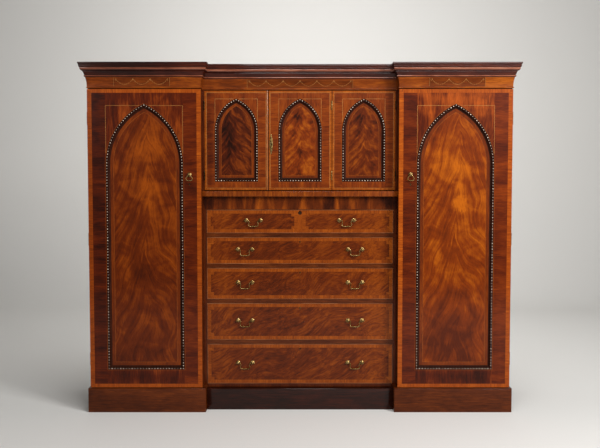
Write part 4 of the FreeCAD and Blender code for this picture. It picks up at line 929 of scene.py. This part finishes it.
def mirroredRod(half, x, y, z):
    # A bail or ring from its half, in the plane of its pivots
    whole = half + [(-across, up, radius) for across, up, radius in reversed(half[:-1])]
    return bentRod([(x + across, y, z + up) for across, up, radius in whole], [radius for across, up, radius in whole],
                   handleLook["fineness"], brass)


span, pivotY = handleLook["span"] / 2, centreFront - handleLook["reach"]
bail = mirroredRod(handleLook["bail"], 0, pivotY, 0)
post = turnedPiece(handleLook["post"], 0, centreFront - handleLook["seat"], 0, handleLook["steps"], brass)
past, length, thick, thin, sides, ease = handleLook["knob"]
for number, (bottom, top) in drawerFronts.items():
    body = "drawer_%d" % number
    level, place = (bottom + top) / 2 + handleLook["rise"], handleLook["places"][number]
    fittings = []
    for side, hand in (("left", -1), ("right", 1)):
        for outward in (-1, 1):
            knob = (hand * place + outward * (span + past), pivotY, level)
            fittings.append(roundBar(knob, length, thick, thin, outward * math.pi / 2, sides, ease, brass))
        twin = copied(bail, (hand * place, 0, level))
        twin.name = twin.data.name = "%s_%s_handle" % (body, side)
        finishPiece(twin, "%s_%s_bail" % (body, side), "brass", ["%s_%s_bail" % (body, side)])
        fittings += [copied(post, (hand * place + inward * span, 0, level)) for inward in (-1, 1)]
    hole = top - lockLook["topDrawer" if number == 1 else "fromTop"]
    (near, far), wide = lockLook["y"], lockLook["half"]
    fittings.append(block((-wide, near, hole - lockLook["below"]), (wide, far, hole + lockLook["above"]), brass,
                          lockLook["ease"]))
    if number == 1:
        fittings.append(turnedPiece(lockLook["disc"], 0, centreFront - sheetThickness, hole, lockLook["steps"],
                                    darkUpright))
    fittings += keyhole(0, hole, centreFront - (lockLook["discFace"] if number == 1 else 0))
    finishPiece(joined(body + "_brasses", fittings), body, "brass", [body + "_fittings"])
dropped(bail)

for side, hand in (("left", -1), ("right", 1)):
    x, y, z = hand * pullLook["x"], wingFront - pullLook["reach"], pullLook["z"]
    long, thin, ease = pullLook["pin"]
    name = side + "_wing_door"
    ring = mirroredRod(pullLook["ring"], x, y, z)
    pin = block((x - long, y - thin, z - thin), (x + long, y + thin, z + thin), brass, ease)
    finishPiece(joined(side + "_pull_ring", [ring, pin]), side + "_ring_pull", "brass", [name + "_ring"])
    pull = turnedPiece(pullLook["post"], x, wingFront - pullLook["seat"], z, pullLook["steps"], brass)
    finishPiece(joined(side + "_pull_brasses", [pull] + keyhole(x, pullLook["keyhole"], wingFront)), name, "brass")
dropped(post)

# heights above the key plate's middle with half widths, and heights with radii of its studs
plateLook = {"x": -173.167, "z": 1604, "thick": 2.6, "ease": (1.1, 3, 60),
             "half": [(60, 0.6), (57.5, 3.4), (54, 3.8), (50, 2.6), (46, 3.4), (41, 6.6), (36, 7), (31, 6.6),
                      (26, 8.2), (20, 10.2), (15, 10), (10, 9.4), (5, 11), (0, 12)],
             "studs": ((20, 4.2), (-20, 4.2), (38, 3), (-38, 3)), "steps": 16, "sunk": 0.2,
             # a stud's shares of its radius and reaches, and the keyhole's rise, growth and how far it stands out
             "dome": ((0, 0), (1, 0), (0.85, 0.9), (0.5, 1.5), (0, 1.8)), "hole": (2, 0.4, 0.2)}


def keyPlate():
    # A pierced brass plate with a swelling outline and rounded edges
    x, z, thick = plateLook["x"], plateLook["z"], plateLook["thick"]
    right = [(w, h) for h, w in plateLook["half"]] + [(w, -h) for h, w in reversed(plateLook["half"][:-1])]
    outline = [(-w, h) for w, h in right] + list(reversed(right))
    plate = veneer([(x + w, z + h) for w, h in outline], centreFront, thick, brass)
    pieces = [smoothed(eased(plate, *plateLook["ease"]))]
    for rise, radius in plateLook["studs"]:
        dome = [(radius * share, reach) for share, reach in plateLook["dome"]]
        foot = centreFront - thick + plateLook["sunk"]
        pieces.append(turnedPiece(dome, x, foot, z + rise, plateLook["steps"], brass))
    rise, grown, proud = plateLook["hole"]
    pieces.append(veneer(keyholePoints(x, z + rise, grown), centreFront, thick + proud, darkHole))
    return joined("cupboard_key_plate", pieces)


finishPiece(keyPlate(), "upper_middle_door", "brass")

# y, heights, length and radius of the butt hinges, then x, the two bodies of each and its brass
wingHinge = (-244, (318, 1035.5, 1753), 76, 4.06)
upperHinge = (-191.9, (1417, 1835), 54, 3.26)
hingeLook = {"left_wing": (-1258.6, wingHinge, "carcase", "left_wing_door", brass),
             "right_wing": (1258.6, wingHinge, "carcase", "right_wing_door", brass),
             # the hinges beside the wings take the brass with painted shade
             "upper_left": (-573.5, upperHinge, "carcase", "upper_left_door", shadedHingeBrass),
             "upper_right": (573.5, upperHinge, "carcase", "upper_right_door", shadedHingeBrass),
             "upper_middle": (191.167, upperHinge, "upper_right_door", "upper_middle_door", brass)}
knuckleGap, knuckleShape = 0.4, (0, 20, (0.4,))  # turn, sides and easing
for name, (x, (y, heights, length, radius), still, moving, metal) in hingeLook.items():
    third = length / 3
    outer, middle = [], []
    for z in heights:
        for hand in (-1, 1):
            away = hand * (third + knuckleGap / 2)
            outer.append(roundBar((x, y, z + away), third - knuckleGap, radius, radius, *knuckleShape, metal))
        middle.append(roundBar((x, y, z), third, radius, radius, *knuckleShape, metal))
    finishPiece(joined(name + "_outer_knuckles", outer), still, "brass")
    finishPiece(joined(name + "_middle_knuckles", middle), moving, "brass")
print("brasses made")


# Hanging rails

railLook = {"ends": (604, 1234), "y": 28, "z": 1813, "radius": 9.5, "socket": 20, "socketLength": 9,
            "sides": 32, "ease": (1.2, 3)}
rails = []
for hand in (-1, 1):
    low, high = sorted(hand * end for end in railLook["ends"])
    long, wide = railLook["socketLength"], railLook["socket"]
    for x0, x1, radius in ((low, high, railLook["radius"]), (low, low + long, wide), (high - long, high, wide)):
        rails.append(roundBar(((x0 + x1) / 2, railLook["y"], railLook["z"]), x1 - x0, radius, radius, math.pi / 2,
                              railLook["sides"], railLook["ease"], beech))
finishPiece(joined("turned_hanging_rails", rails), "carcase", "beech", ["hanging_rails"])
print("rails turned")


# Boards that keep the solid's own shape

centreHalf = 0.5635  # half width of the middle plinth, in metres
for node, material, slot in (("plinths", plinthWood, "mahogany"), ("chest_ledge", ledgeWood, "mahogany"),
                             ("cupboard_shelf", carcaseAcross, "mahogany"), ("back_boards", pine, "pine")):
    board = easedCopy(node, material, slot)
    # the middle plinth's faces take the painted shade
    if node == "plinths":
        dressed(board, centrePlinthShade)
        for face in board.data.polygons:
            if abs(face.center.x) < centreHalf:
                face.material_index = 1
nodeWoods = (("fittings", brass), ("hinge", brass), ("_box", oak), ("hanging_rails", beech), ("back_boards", pine),
             ("drawer_dividers", railWood), ("_front", cockBeadHighlightWood), ("", carcaseUpright))
for node, thing in frame["nodes"].items():
    material = next(wood for part, wood in nodeWoods if part in node)
    for place in thing.material_slots:
        place.material = material
print("boards finished")


# Floor, light and camera

# the paper's grain in millimetres; half width, front, back, height and sweep of the roll in metres
studioLook = {"tones": ("#D6D4D0", "#DCDAD6"), "grain": 10 / 9, "half": 8, "front": -9, "back": 5, "height": 6,
              "sweep": 1.5, "steps": 12}
# place, aim, width and height in metres, and power in watts
lampLook = {"key": ((3.6, -3.7, 3.1), (0, 0, 1), (1.7, 1.7), 285),
            "fill": ((-3.2, -4.4, 2.6), (0, 0, 1), (1.6, 1.6), 42),
            "top": ((0.3, -2.4, 4), (0, 0, 1), (1.4, 1.4), 55),
            "strip": ((0.9, -4.6, 2.76), (0.2, 0, 1.9), (3.2, 0.16), 26),
            "backdrop": ((0, 1.2, 3.2), (0, 5, 1.6), (3, 3), 110)}
airLook = {"colour": "#E8E6E2", "strength": 0.16}
cameraLook = {"place": (0, -4.7685, 1.35), "tilt": 2.82, "lens": 45.58, "sensor": 36}


def studio():
    # A roll of matt pale paper: even, dull and nearly white, swept up behind
    material, add, place = newMaterial("paleStudioPaper")
    grain = add("TexNoise", {"Scale": 1000 / studioLook["grain"], "Detail": 2, "Vector": place})
    ramp = add("ValToRGB", {"stops": zip((0.4, 0.6), studioLook["tones"]), "Fac": grain})
    shader = add("BsdfPrincipled", {"Roughness": 0.8, "Base Color": ramp})
    add("OutputMaterial", {"Surface": shader})
    floor = started(bpy.ops.mesh.primitive_plane_add, size=2)
    floor.name = "studioFloor"
    for vertex in floor.data.vertices:
        vertex.co = (vertex.co.x * studioLook["half"], studioLook["front" if vertex.co.y < 0 else "back"], 0)
    edit()
    bpy.ops.mesh.select_all(action="DESELECT")
    bpy.ops.object.mode_set(mode="OBJECT")
    for edge in floor.data.edges:
        edge.select = all(floor.data.vertices[v].co.y > 0 for v in edge.vertices)
    bpy.ops.object.mode_set(mode="EDIT")
    bpy.ops.mesh.select_mode(type="EDGE")
    bpy.ops.mesh.extrude_edges_move(TRANSFORM_OT_translate={"value": (0, 0, studioLook["height"])})
    leaveEdit(outward=False)
    eased(floor, studioLook["sweep"] / mm, studioLook["steps"])
    smoothed(dressed(floor, material))


def lamps():
    for name, (place, aim, size, power) in lampLook.items():
        picked()
        bpy.ops.object.light_add(type="AREA", location=place)
        lamp = bpy.context.object
        lamp.name = name
        lamp.data.shape = "RECTANGLE"
        lamp.data.size, lamp.data.size_y = size
        lamp.data.energy = power
        lamp.rotation_euler = (Vector(aim) - Vector(place)).to_track_quat("-Z", "Y").to_euler()
    world = bpy.data.worlds.new("studioAir")
    world.use_nodes = True
    air = world.node_tree.nodes["Background"]
    air.inputs["Color"].default_value = linear(airLook["colour"])
    air.inputs["Strength"].default_value = airLook["strength"]
    bpy.context.scene.world = world


def camera():
    picked()
    bpy.ops.object.camera_add(location=cameraLook["place"], rotation=(math.radians(90 - cameraLook["tilt"]), 0, 0))
    eye = bpy.context.object
    eye.data.lens, eye.data.sensor_width = cameraLook["lens"], cameraLook["sensor"]
    bpy.context.scene.camera = eye
    bpy.context.scene.view_settings.view_transform = "Standard"


studio()
lamps()
camera()
print("scene ready")
